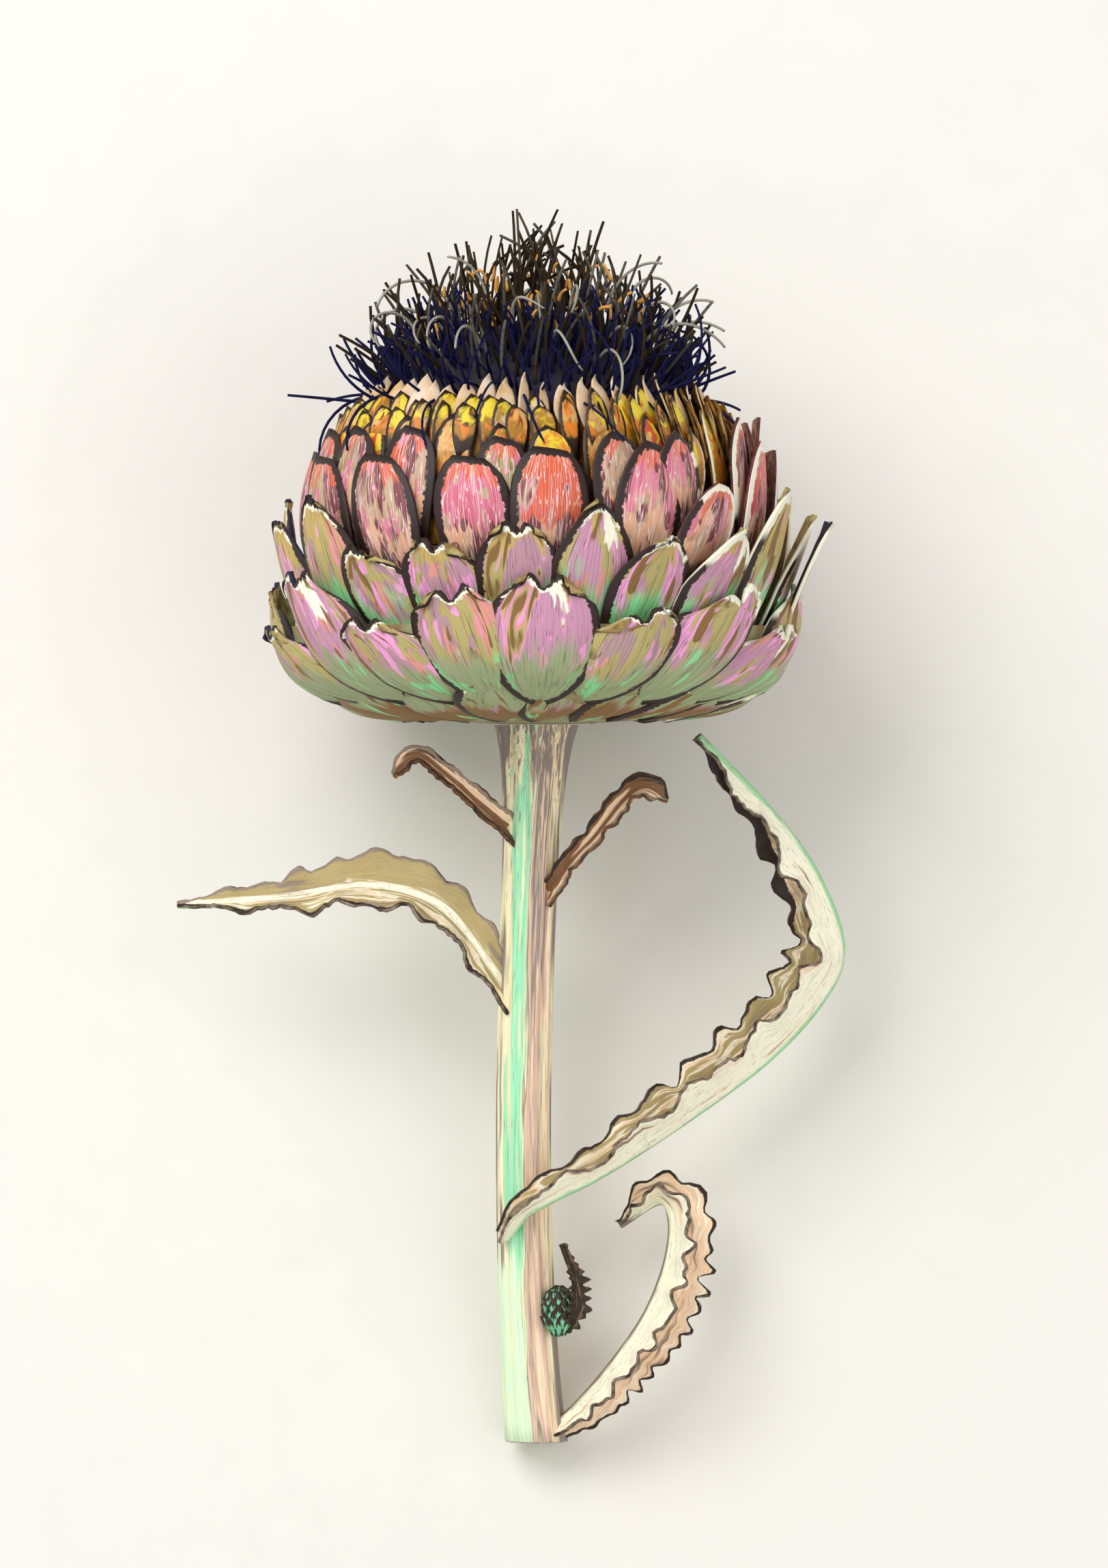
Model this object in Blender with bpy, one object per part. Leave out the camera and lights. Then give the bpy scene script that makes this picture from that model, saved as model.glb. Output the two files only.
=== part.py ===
"""A globe artichoke in flower, cut with its leafy stem and lying on its back.

The plant is drawn upright first: the centre of the stem's cut end is the origin, the
head stands over it on +Z, +X is its right and -Y its front. It is then laid down, so
that in the finished part the head points to +Y and the plant's front faces up.
"""

import math
import random
from typing import NamedTuple

import bmesh
import bpy
from mathutils import Matrix, Vector
from mathutils.geometry import interpolate_bezier

MM = 0.001
GAP = 0.3 * MM  # clear space between pieces that touch
FRONT = Vector((0, -1, 0))
UP = Vector((0, 0, 1))
CURVE_STEPS = 40  # points read from each arc of a curve
SHARP_ANGLE = math.radians(40)

# Stem: a ribbed shoot, wider at its foot and under the head, and a little bowed
STEM_LENGTH = 174.7 * MM
STEM_RADIUS = 6.2 * MM
NECK_FLARE = 3.3 * MM
NECK_RUN = 12 * MM
FOOT_SWELL = 0.9 * MM
FOOT_RUN = 22 * MM
STEM_BOW = 3.2 * MM
RIBS = 12
RIB_SHARE = 0.06
STEM_RINGS = 9

# Head: its outline is two Bezier arcs, in millimetres of radius and of height over the stem
OUTLINE_ARCS = (
    ((12, 0), (60, -2), (66.5, 10), (65.8, 32)),
    ((65.8, 32), (65.8, 50), (56, 70), (37, 83)),
)
CROWN_RADIUS = 30 * MM  # how tightly a bract rounds across its width
LAP = 1.0 * MM  # an edge of a bract lies this much over its neighbour's
EDGE_SHARE = 0.65  # a bract's thickness at its edges, as a share of the middle's
NOTCH_FROM = 0.8
TURN_DRAW = 0.06  # how unevenly the bracts of a ring stand, in places
FLARE_DRAW = (0.5, 1.5)
CORE_STEPS = 18

# Florets: threads that fan from the tuft's core, longest in the middle
FLORETS = 76
FLORET_RADIUS = 0.7 * MM
FLORET_LENGTH = 29 * MM
FLORET_SHORTER = 12 * MM
FLORET_SINK = 3 * MM
FLORET_STEPS = 3
TUFT_RADIUS = 34.5 * MM
TUFT_LEAN = math.radians(62)
LEAN_DRAW = 0.2
CURL_DRAW = (-0.25, 0.45)
RIM_CURL = 0.25
TWIST_DRAW = 0.3
LENGTH_DRAW = 3 * MM
GOLDEN_ANGLE = math.pi * (3 - math.sqrt(5))

# Leaves
LOBE_RATE = 1.7  # lobes along a leaf's edge for each of its waves
BASE_RUN = 0.25  # the share of a leaf's length over which its waves grow
FULL_WAVE_WIDTH = 5 * MM
RIB_DEPTH = 2.0  # a leaf is this many times as thick under its midrib

# How the plant lies: its axis rises from the cut end to the head by this angle
LIE_ANGLE = math.radians(16)
FLOOR_DEPTH = 20 * MM


class Shape(NamedTuple):
    """How one bract differs from its ring: the turn to the right in degrees, how much
    further out its tip is and how much higher the tip's right side is than its left,
    both in millimetres, and how far it is pointed, from 0 to 1."""

    turn: float
    tip: float
    slant: float = 0.0
    point: float = 0.0


class Row(NamedTuple):
    """One ring of bracts, in millimetres and degrees. tip is measured along the head's
    outline from the stem; lean and bow say how the bract sinks below that outline
    towards its root; flare stands its tip out, right does so on the head's right only,
    and notch cuts into the tip's middle. root_share and tip_share are its widths there,
    as shares of its widest, which is at the share widest. fan turns the roots at the
    sides towards the front, in radians. shapes are the bracts at the front from left to
    right, repeated round the ring; a ring without them draws them, as far as tip_draw
    and width_draw say. In a ring from_front, each bract is overlapped by its neighbour
    nearer the front."""

    name: str
    count: int
    phase: float
    tip: float
    length: float
    width: float
    lean: float
    bow: float
    thick: float
    flare: float = 0.0
    right: float = 0.0
    notch: float = 0.0
    from_front: bool = False
    root_share: float = 0.42
    widest: float = 0.62
    tip_share: float = 0.26
    fan: float = 0.0
    shapes: tuple = ()
    tip_draw: float = 1.3
    width_draw: float = 0.0
    along: tuple = (0.0, 0.5, 0.82, 1.0)
    across: int = 4


LONG = (0.0, 0.4, 0.72, 0.9, 1.0)
SHORT = (0.0, 0.6, 1.0)
BASAL = Row(
    "basal", 16, 9, tip=46, length=26, width=22, lean=0.04, bow=0, thick=1.3, flare=-5,
    fan=0.3, tip_draw=2, width_draw=0.1, across=2,
)
LOWER = Row(
    "lower", 17, 3, tip=77, length=37, width=29, lean=0.02, bow=0.0012, thick=1.5, flare=0.6,
    right=-2, notch=3.2, from_front=True, root_share=0.12, tip_share=0.42, fan=0.45,
    along=LONG,
    shapes=(
        Shape(1.7, -11, 0, 0),
        Shape(-1.5, 2, 0, 0),
        Shape(0.4, -9.5, 0, 0),
        Shape(0, -1, 3, 0),
        Shape(-1.2, 1.5, -2, 0),
        Shape(-0.5, -6, 3.5, 0),
        Shape(4, -0.5, 4, 0),
        Shape(3.5, -11, 0, 0),
        Shape(0, 0, -2, 0),
    ),
)
UPPER = Row(
    "upper", 19, -4, tip=91, length=36, width=22.5, lean=0.20, bow=0.0036, thick=1.5, flare=1.2,
    right=4, notch=2.6, fan=0.25, tip_share=0.36,
    shapes=(
        Shape(0, 0, 0, 0.5),
        Shape(0.8, 6, -2, 0.5),
        Shape(1.4, -6.5, -3, 0.3),
        Shape(0.4, -4.3, -1.5, 0),
        Shape(0, -0.6, 0, 0),
        Shape(-0.4, 3.8, 0, 1),
        Shape(-4.5, -4, 2, 0.7),
        Shape(-3.5, -3.3, 0, 1),
        Shape(0, 6.3, 0, 0.4),
    ),
)
STRAY = Row(
    "stray", 1, 80, tip=88, length=36, width=8, lean=0.05, bow=0.006, thick=1.4, flare=9.0,
    across=2,
)
ROSY = Row(
    "rosy", 15, 3.6, tip=109, length=38, width=20, lean=0.20, bow=0.0055, thick=1.4, flare=0.4,
    right=3.5, root_share=0.3, widest=0.6, fan=0.2, across=3,
    shapes=(
        Shape(0, 0, 0, 0.2),
        Shape(0.9, 0, 0, 0.2),
        Shape(3.9, -1, 0, 0),
        Shape(0, 1.5, 0, 0),
        Shape(3.9, 3, 0, 0.5),
        Shape(-3.6, -9, 0, 0.4),
        Shape(0, 2, 0, 0),
    ),
)
RUSSET = Row(
    "russet", 15, 15.6, tip=117, length=32, width=15, lean=0.20, bow=0.0075, thick=1.3, flare=0.9,
    right=4, root_share=0.4, widest=0.66, across=2,
    shapes=(
        Shape(0, 0, 0, 0.3),
        Shape(-3, 0, 0, 0),
        Shape(0, -4, 0, 0),
        Shape(6.4, -2.7, 0, 0),
        Shape(0, -3, 0, 0.3),
        Shape(4, 0, 0, 0),
    ),
)
AMBER = Row(
    "amber", 24, 5, tip=121.5, length=26, width=10, lean=0.30, bow=0.011, thick=1.1,
    flare=-1.2, tip_draw=3.5, width_draw=0.3, along=SHORT, across=2,
)
GOLDEN = Row(
    "golden", 36, 0, tip=128.5, length=20, width=6.4, lean=0.20, bow=0.02, thick=1.0,
    flare=0.3, tip_share=0.4, tip_draw=3, width_draw=0.3, along=SHORT, across=2,
)

# Cores that the rings grow from, in millimetres of radius and of height over the stem
HEART = ((10, 0.3), (34, 1.6), (48, 5.2), (56, 10), (59.5, 16), (60, 24))
MIDDLE_CORE = ((50, 24.3), (51.5, 43))
INNER_CORE = ((49.2, 43.3), (49.5, 47), (45, 60), (36, 74))
TUFT_CORE = ((34, 74.3), (35.5, 79), (30, 86), (20, 93), (8, 98))

# The side bud, at the stem's right front: its solid is turned about an upright axis
BUD_CENTRE = Vector((5.4, -5.6, 32.5)) * MM
BUD_PROFILE = ((1.6, -6.5), (3.8, -3), (4.0, 1), (2.6, 4.5))


class Leaf(NamedTuple):
    """One leaf of the stem. midrib holds points in millimetres; widths pairs a share of
    the midrib with the half-width there; trough turns the open side of the fold from the
    midrib's left (0) to the front (90), from base to tip; spread is the angle from the
    trough's middle to each half; lobes is a share of the width, and wave its height."""

    name: str
    midrib: tuple
    widths: tuple
    trough: tuple
    spread: float
    wave: float
    waves: float
    lobes: float
    steps: int
    thick: float = 0.9


LEAVES = (
    Leaf(
        "leaf_left",
        midrib=(
            (-5, -1.5, 106),
            (-16, -4, 122.5),
            (-26, -5, 132),
            (-42, -4, 135.5),
            (-60, 1, 132.5),
            (-88, 7, 131),
        ),
        widths=((0, 4.2), (0.25, 6.2), (0.45, 8.6), (0.62, 6.6), (0.85, 3.4), (1, 0.7)),
        trough=(118, 128),
        spread=64,
        wave=1.5,
        waves=6,
        lobes=0.14,
        steps=16,
    ),
    Leaf(
        "leaf_long",
        midrib=(
            (-7, -3.5, 49.5),
            (-3.5, -9.3, 55.5),
            (4, -10.3, 60),
            (16, -8, 66),
            (37, -3, 79.5),
            (56, 3, 93.5),
            (69, 8, 107.5),
            (74, 9, 119.5),
            (69, 8, 135.5),
            (58.5, 4, 151),
            (39, -4, 171.5),
        ),
        widths=((0, 3.6), (0.12, 6), (0.35, 10.5), (0.55, 12.5), (0.75, 9.5), (0.9, 4.5), (1, 0.7)),
        trough=(30, 22),
        spread=30,
        wave=1.3,
        waves=9,
        lobes=0.16,
        steps=25,
    ),
    Leaf(
        "leaf_low",
        midrib=(
            (3, -1, 2.5),
            (10, -3, 8),
            (20.5, -6, 20.5),
            (28, -7, 32),
            (32.5, -5, 44),
            (33.5, -2, 54),
            (30, 2, 59),
            (20, 3, 53),
        ),
        widths=((0, 4), (0.2, 8), (0.5, 10.5), (0.75, 9.5), (0.88, 6), (1, 0.8)),
        trough=(158, 150),
        spread=38,
        wave=1.6,
        waves=7,
        lobes=0.2,
        steps=18,
    ),
    Leaf(
        "small_leaf_left",
        midrib=((-3, -2, 146), (-14, -6, 155.5), (-24, -9, 164), (-29.5, -11, 167), (-35, -9, 162.5)),
        widths=((0, 3.4), (0.3, 3.2), (0.7, 2.6), (0.9, 3), (1, 0.7)),
        trough=(110, 120),
        spread=52,
        wave=0.7,
        waves=3,
        lobes=0.1,
        steps=8,
    ),
    Leaf(
        "small_leaf_right",
        midrib=(
            (2, -3, 132),
            (9, -7, 142),
            (15, -8, 148.5),
            (21, -9, 156),
            (26.5, -11, 159.5),
            (32, -9, 156.5),
        ),
        widths=((0, 3), (0.35, 2.8), (0.7, 3.4), (0.9, 3.6), (1, 0.7)),
        trough=(70, 60),
        spread=50,
        wave=0.9,
        waves=4,
        lobes=0.14,
        steps=10,
    ),
)
BUD_LEAF = Leaf(
    "bud_leaf",
    midrib=((5.5, -6.5, 27), (9.5, -8, 31), (9.8, -8.5, 39), (6.6, -9, 48.5)),
    widths=((0, 1.6), (0.4, 2.6), (1, 0.5)),
    trough=(120, 120),
    spread=60,
    wave=0.3,
    waves=2,
    lobes=0.2,
    steps=6,
    thick=0.8,
)
ACROSS_LEAF = (-1, -0.5, 0, 0.5, 1)


def clear_scene():
    for obj in list(bpy.data.objects):
        bpy.data.objects.remove(obj)


def material(name, colour, roughness):
    made = bpy.data.materials.new(name)
    made.use_nodes = True
    shader = made.node_tree.nodes["Principled BSDF"]
    shader.inputs["Base Color"].default_value = (*colour, 1)
    shader.inputs["Roughness"].default_value = roughness
    shader.inputs["Metallic"].default_value = 0
    return made


def add_object(name, mesh, finish=None):
    if finish:
        mesh.materials.append(finish)
    obj = bpy.data.objects.new(name, mesh)
    bpy.context.scene.collection.objects.link(obj)
    return obj


def mesh_from_points(name, points, faces):
    """A mesh of the given points and faces, turned to face outwards."""
    mesh = bpy.data.meshes.new(name)
    mesh.from_pydata([tuple(point) for point in points], [], faces)
    work = bmesh.new()
    work.from_mesh(mesh)
    bmesh.ops.recalc_face_normals(work, faces=work.faces)
    work.to_mesh(mesh)
    work.free()
    return mesh


def tube_faces(rings, sides):
    """Triangles between the rings of a tube, whose points run ring by ring."""
    faces = []
    for ring in range(rings - 1):
        for side in range(sides):
            a, b = ring * sides + side, ring * sides + (side + 1) % sides
            faces += [(a, b, b + sides), (a, b + sides, a + sides)]
    return faces


def thin_solid(name, outer, inner):
    """A thin mesh between two alike grids of points. Both faces are split along the same
    diagonals, so that a waved blade never crosses itself."""
    rows, columns = len(outer), len(outer[0])
    points = [point for row in outer + inner for point in row]
    half = rows * columns
    faces = []
    for i in range(rows - 1):
        for j in range(columns - 1):
            a, b = i * columns + j, i * columns + j + 1
            c, d = a + columns, b + columns
            faces += [(a, b, d), (a, d, c), (half + a, half + d, half + b)]
            faces.append((half + a, half + c, half + d))
    first, last = range(columns), range((rows - 1) * columns, half)
    right = range(2 * columns - 1, half - 1, columns)
    left = range(columns, half - columns, columns)
    rim = [*first, *right, *reversed(last), *reversed(left)]
    for a, b in zip(rim, rim[1:] + rim[:1]):
        faces += [(a, half + a, half + b), (a, half + b, b)]
    return mesh_from_points(name, points, faces)


def turned_mesh(name, profile, centre):
    """A closed mesh turned round an upright axis from a profile in millimetres."""
    low, high = profile[0][1], profile[-1][1]
    mesh = bmesh.new()
    outline = [mesh.verts.new((r * MM, 0, z * MM)) for r, z in [(0, low), *profile, (0, high)]]
    edges = [mesh.edges.new(pair) for pair in zip(outline, outline[1:])]
    bmesh.ops.spin(
        mesh,
        geom=outline + edges,
        axis=UP,
        cent=(0, 0, 0),
        angle=math.tau,
        steps=CORE_STEPS,
        use_merge=True,
    )
    bmesh.ops.remove_doubles(mesh, verts=mesh.verts, dist=0.001 * MM)
    bmesh.ops.recalc_face_normals(mesh, faces=mesh.faces)
    bmesh.ops.triangulate(mesh, faces=mesh.faces)
    bmesh.ops.translate(mesh, verts=mesh.verts, vec=centre)
    data = bpy.data.meshes.new(name)
    mesh.to_mesh(data)
    mesh.free()
    return data


def settle(obj, change):
    """Applies a Boolean modifier to its object's mesh."""
    bpy.context.view_layer.update()
    graph = bpy.context.evaluated_depsgraph_get()
    obj.data = bpy.data.meshes.new_from_object(obj.evaluated_get(graph))
    obj.modifiers.remove(change)


def join(obj, others, solver="EXACT"):
    """Joins other objects to this one in a single solid, and removes them."""
    group = bpy.data.collections.new(obj.name + "_repeats")
    bpy.context.scene.collection.children.link(group)
    for each in others:
        group.objects.link(each)
    change = obj.modifiers.new("join", "BOOLEAN")
    change.operation = "UNION"
    change.solver = solver
    change.operand_type = "COLLECTION"
    change.collection = group
    settle(obj, change)
    bpy.data.collections.remove(group)
    for each in others:
        bpy.data.objects.remove(each)


def cut(obj, cutter):
    change = obj.modifiers.new("cut", "BOOLEAN")
    change.operation = "DIFFERENCE"
    change.object = cutter
    settle(obj, change)


def keep_largest_body(obj):
    """Drops the loose scraps and the shut pockets that a cut or a join leaves."""
    mesh = bmesh.new()
    mesh.from_mesh(obj.data)
    waiting, bodies = set(mesh.verts), []
    while waiting:
        edge = [waiting.pop()]
        body = []
        while edge:
            vert = edge.pop()
            body.append(vert)
            near = {link.other_vert(vert) for link in vert.link_edges} & waiting
            waiting -= near
            edge += near
        bodies.append(body)
    bodies.sort(key=len)
    scraps = [vert for body in bodies[:-1] for vert in body]
    bmesh.ops.delete(mesh, geom=scraps, context="VERTS")
    mesh.to_mesh(obj.data)
    mesh.free()


def eased(pairs, share):
    """A value read off pairs of a share and a value, easing from each to the next."""
    for (low, first), (high, second) in zip(pairs, pairs[1:]):
        if share <= high:
            part = (share - low) / (high - low)
            return first + (second - first) * part * part * (3 - 2 * part)
    return pairs[-1][1]


def stem_centre(height):
    """How far to the right the bowed stem's middle runs at a height."""
    return -STEM_BOW * math.sin(math.pi * (height / STEM_LENGTH) ** 0.8)


def stem_radius(height, turn):
    neck = NECK_FLARE * math.exp((height - STEM_LENGTH) / NECK_RUN)
    foot = FOOT_SWELL * math.exp(-height / FOOT_RUN)
    return (STEM_RADIUS + neck + foot) * (1 + RIB_SHARE * math.cos(RIBS * turn))


def stem_mesh(name, wider=0.0):
    """The ribbed stem, or the same shape grown by a clearance."""
    sides = 2 * RIBS
    points = []
    for ring in range(STEM_RINGS + 1):
        height = STEM_LENGTH * math.sin(math.pi / 2 * ring / STEM_RINGS)
        for side in range(sides):
            turn = math.tau * side / sides
            radius = stem_radius(height, turn) + wider
            across = stem_centre(height) + radius * math.sin(turn)
            points.append((across, -radius * math.cos(turn), height))
    faces = tube_faces(STEM_RINGS + 1, sides)
    faces += [range(sides), range(STEM_RINGS * sides, len(points))]
    return mesh_from_points(name, points, faces)


def outline_samples():
    """Run, radius and height of points along the head's outline, from the stem up."""
    knots = []
    for arc in OUTLINE_ARCS:
        start, first, second, end = (Vector((r, z, 0)) * MM for r, z in arc)
        knots += interpolate_bezier(start, first, second, end, CURVE_STEPS)[bool(knots) :]
    samples, run = [], 0.0
    for before, here in zip([knots[0], *knots], knots):
        run += (here - before).length
        samples.append((run, here.x, here.y))
    return samples


OUTLINE = outline_samples()


def on_outline(run):
    """Radius, height and outward direction of the head's outline, at a run along it."""
    for low, high in zip(OUTLINE, OUTLINE[1:]):
        if run <= high[0]:
            break
    part = (run - low[0]) / (high[0] - low[0])
    step = Vector((high[1] - low[1], high[2] - low[2]))
    outward = Vector((step.y, -step.x)).normalized()
    return low[1] + step.x * part, low[2] + step.y * part, outward


def bract_shape(row, index, draw):
    if not row.shapes:
        turn = draw.uniform(-TURN_DRAW, TURN_DRAW) * 360 / row.count
        return Shape(turn, draw.uniform(-row.tip_draw, row.tip_draw))
    here = index + len(row.shapes) // 2
    return row.shapes[(here if 2 * index <= row.count else here - row.count) % len(row.shapes)]


def bract_width(row, shape, along):
    """Width of a bract from its root (0) to its tip (1), as a share of its widest."""
    if along < row.widest:
        return row.root_share + (1 - row.root_share) * math.sin(math.pi / 2 * along / row.widest)
    fall = (along - row.widest) / (1 - row.widest)
    tip_share = row.tip_share * (1 - 0.8 * shape.point)
    return tip_share + (1 - tip_share) * (1 - fall ** (2.3 - 0.8 * shape.point)) ** 0.75


def drawn_back(row, shape, along, side):
    """How far the tip's edge is drawn back by its slant and its notch."""
    near_tip = max(0.0, (along - NOTCH_FROM) / (1 - NOTCH_FROM))
    cuts = (abs(shape.slant) - shape.slant * side) / 2
    if not shape.point:
        cuts += row.notch * (0.5 + 0.5 * math.cos(math.tau * side))
    return near_tip * cuts * MM


def lap_depth(row, index, side):
    """How far the overlap sinks a bract, from its left edge (-1) to its right (1)."""
    if not row.from_front:
        return LAP * side
    if index == 0:
        return -LAP * abs(side)
    return LAP * side * (-1 if index <= row.count // 2 else 1)


def bract(row, index):
    """One bract as a thin curved solid, standing on the head with its root sunk in."""
    draw = random.Random(f"{row.name} {index}")
    shape = bract_shape(row, index, draw)
    turn = math.radians(row.phase + 360 / row.count * index + shape.turn)
    flare = row.flare * draw.uniform(*FLARE_DRAW)
    flare += row.right * max(0.0, math.sin(turn)) ** 4
    widest = row.width * draw.uniform(1 - row.width_draw, 1 + row.width_draw) * MM
    outer, inner = [], []
    for along in row.along:
        back = (1 - along) * row.length
        half = bract_width(row, shape, along) * widest / 2
        sunk = (row.lean * back + row.bow * back**2 - flare * along**4) * MM
        lines = [], []
        for step in range(row.across + 1):
            side = 2 * step / row.across - 1
            reach = side * half
            run = (row.tip - back + shape.tip * along) * MM - drawn_back(row, shape, along, side)
            radius, height, outward = on_outline(run)
            depth = sunk + reach**2 / (2 * CROWN_RADIUS) + lap_depth(row, index, side)
            thick = row.thick * MM * (1 - (1 - EDGE_SHARE) * abs(side))
            fanned = row.fan * math.sin(turn) * (1 - along)
            angle = turn + reach / (radius - sunk * outward.x) - fanned
            for line, down in zip(lines, (depth, depth + thick)):
                out = radius - down * outward.x
                rise = STEM_LENGTH + height - down * outward.y
                line.append(Vector((out * math.sin(angle), -out * math.cos(angle), rise)))
        outer.append(lines[0])
        inner.append(lines[1])
    return add_object(f"{row.name}_{index}", thin_solid(row.name, outer, inner))


def make_rings(name, core, rows, finish, solver="EXACT"):
    """A core with its rings of bracts, joined in one solid."""
    obj = add_object(name, turned_mesh(name, core, UP * STEM_LENGTH), finish)
    join(obj, [bract(row, index) for row in rows for index in range(row.count)], solver)
    keep_largest_body(obj)
    return obj


def tuft_height(radius):
    """Height of the tuft's core over the stem, at a distance from the axis."""
    crown = [(0, TUFT_CORE[-1][1]), *reversed(TUFT_CORE[1:])]
    for (near, high), (far, low) in zip(crown, crown[1:]):
        if radius / MM <= far:
            part = (radius / MM - near) / (far - near)
            return (high + (low - high) * part) * MM
    return TUFT_CORE[1][1] * MM


def floret_path(index):
    """Points along a floret, which stands on the tuft's core, leans out and curls."""
    draw = random.Random(f"floret {index}")
    share = math.sqrt((index + 0.5) / FLORETS)
    turn = index * GOLDEN_ANGLE
    out = Vector((math.sin(turn), -math.cos(turn), 0))
    beside = Vector((out.y, -out.x, 0))
    root = out * TUFT_RADIUS * share
    root.z = STEM_LENGTH + tuft_height(TUFT_RADIUS * share) - FLORET_SINK
    lean = TUFT_LEAN * share**2 + draw.uniform(-LEAN_DRAW, LEAN_DRAW)
    curl = draw.uniform(*CURL_DRAW) + RIM_CURL * share
    twist = draw.uniform(-TWIST_DRAW, TWIST_DRAW)
    length = FLORET_LENGTH - FLORET_SHORTER * share + draw.uniform(-LENGTH_DRAW, LENGTH_DRAW)
    path = [root]
    for step in range(FLORET_STEPS):
        bend = step / (FLORET_STEPS - 1)
        angle = lean + curl * bend
        way = out * math.sin(angle) + UP * math.cos(angle) + beside * twist * bend
        path.append(path[-1] + way.normalized() * length / FLORET_STEPS)
    return path, beside


def floret(index, sides=3):
    """A thread of a few sides, closed to a point at its end."""
    path, beside = floret_path(index)
    points = []
    for here, ahead in zip(path, path[1:]):
        across = (ahead - here).cross(beside).normalized()
        for side in range(sides):
            angle = math.tau * side / sides
            around = beside * math.cos(angle) + across * math.sin(angle)
            points.append(here + around * FLORET_RADIUS)
    points.append(path[-1])
    faces = tube_faces(FLORET_STEPS, sides)
    last = (FLORET_STEPS - 1) * sides
    faces += [(last + side, last + (side + 1) % sides, len(points) - 1) for side in range(sides)]
    faces.append(range(sides))
    return add_object(f"floret_{index}", mesh_from_points("floret", points, faces))


def make_florets(finish):
    obj = add_object("florets", turned_mesh("florets", TUFT_CORE, UP * STEM_LENGTH), finish)
    join(obj, [floret(index) for index in range(FLORETS)])
    return obj


def midrib_line(leaf):
    """Evenly spaced points along the smooth curve through a leaf's midrib points."""
    knots = [Vector(point) * MM for point in leaf.midrib]
    before = [knots[0] * 2 - knots[1], *knots[:-1]]
    after = [*knots[1:], knots[-1] * 2 - knots[-2]]
    line = []
    for i, (start, end) in enumerate(zip(knots, knots[1:])):
        leave = start + (after[i] - before[i]) / 6
        arrive = end - (after[i + 1] - before[i + 1]) / 6
        line += interpolate_bezier(start, leave, arrive, end, CURVE_STEPS)[bool(line) :]
    runs = [0.0]
    for here, ahead in zip(line, line[1:]):
        runs.append(runs[-1] + (ahead - here).length)
    spaced, place = [], 0
    for step in range(leaf.steps + 1):
        wanted = runs[-1] * step / leaf.steps
        while place < len(runs) - 2 and runs[place + 1] < wanted:
            place += 1
        part = (wanted - runs[place]) / (runs[place + 1] - runs[place])
        spaced.append(line[place].lerp(line[place + 1], part))
    return spaced


def leaf_row(leaf, rib, ahead, share):
    """The upper and under points across a leaf, from edge to edge, at a share of its
    midrib: the two halves fold up from the midrib, and their edges wave."""
    turn = math.radians(leaf.trough[0] + (leaf.trough[1] - leaf.trough[0]) * share)
    trough = FRONT.cross(ahead) * math.cos(turn) + FRONT * math.sin(turn)
    trough = (trough - ahead * trough.dot(ahead)).normalized()
    beside = ahead.cross(trough)
    spread = math.radians(leaf.spread)
    half = eased(leaf.widths, share) * MM
    growth = math.sin(math.pi / 2 * min(share / BASE_RUN, 1))
    upper, under = [], []
    for side in ACROSS_LEAF:
        hand = 1 if side > 0 else -1
        edge = side**2 * growth
        cycle = math.tau * leaf.waves * share + hand
        reach = half * abs(side) * (1 + leaf.lobes * edge * math.sin(LOBE_RATE * cycle))
        lift = leaf.wave * MM * edge * math.sin(cycle) * min(1, half / FULL_WAVE_WIDTH)
        way = trough * math.cos(spread) + beside * hand * math.sin(spread)
        face = trough * math.sin(spread) - beside * hand * math.cos(spread)
        point = rib + way * reach + face * lift
        down = trough * RIB_DEPTH if side == 0 else face
        upper.append(point)
        under.append(point - down * leaf.thick * MM)
    return upper, under


def leaf_mesh(leaf):
    line = midrib_line(leaf)
    rows = []
    for step, rib in enumerate(line):
        ahead = (line[min(step + 1, leaf.steps)] - line[max(step - 1, 0)]).normalized()
        rows.append(leaf_row(leaf, rib, ahead, step / leaf.steps))
    return thin_solid(leaf.name, [upper for upper, _ in rows], [under for _, under in rows])


def make_leaf(leaf, finish, clearance):
    """A leaf, cut back to stand a hair clear of the stem that it clasps."""
    obj = add_object(leaf.name, leaf_mesh(leaf), finish)
    cut(obj, clearance)
    keep_largest_body(obj)
    return obj


def make_bud(finish, clearance):
    """The side bud with one narrow leaf over it, cut back to the stem."""
    obj = add_object("side_bud", turned_mesh("side_bud", BUD_PROFILE, BUD_CENTRE), finish)
    join(obj, [add_object(BUD_LEAF.name, leaf_mesh(BUD_LEAF))])
    cut(obj, clearance)
    keep_largest_body(obj)
    return obj


def lay_down(pieces):
    """Lays the plant on its back, with the stem's lowest rib on the floor and the middle
    of the whole footprint at the origin."""
    turn = Matrix.Rotation(LIE_ANGLE - math.pi / 2, 4, "X")
    corners = [turn @ vert.co for obj in pieces for vert in obj.data.vertices]
    sides = [[corner[axis] for corner in corners] for axis in (0, 1)]
    across, along = ((min(side) + max(side)) / 2 for side in sides)
    lift = stem_radius(0, math.pi) * math.cos(LIE_ANGLE)
    plant = bpy.data.objects.new("plant", None)
    bpy.context.scene.collection.objects.link(plant)
    plant.matrix_world = Matrix.Translation((-across, -along, lift)) @ turn
    for obj in pieces:
        obj.parent = plant


def press_flat(obj):
    """Flattens the bracts that the head lies on where they meet the floor."""
    bpy.ops.mesh.primitive_cube_add(size=1, location=(0, 0, -FLOOR_DEPTH / 2))
    floor = bpy.context.object
    floor.name = "floor_cutter"
    floor.data.transform(Matrix.Diagonal((2 * STEM_LENGTH, 3 * STEM_LENGTH, FLOOR_DEPTH, 1)))
    floor.hide_render = True
    floor.display_type = "WIRE"
    press = obj.modifiers.new("press", "BOOLEAN")
    press.operation = "DIFFERENCE"
    press.solver = "MANIFOLD"
    press.object = floor


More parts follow.
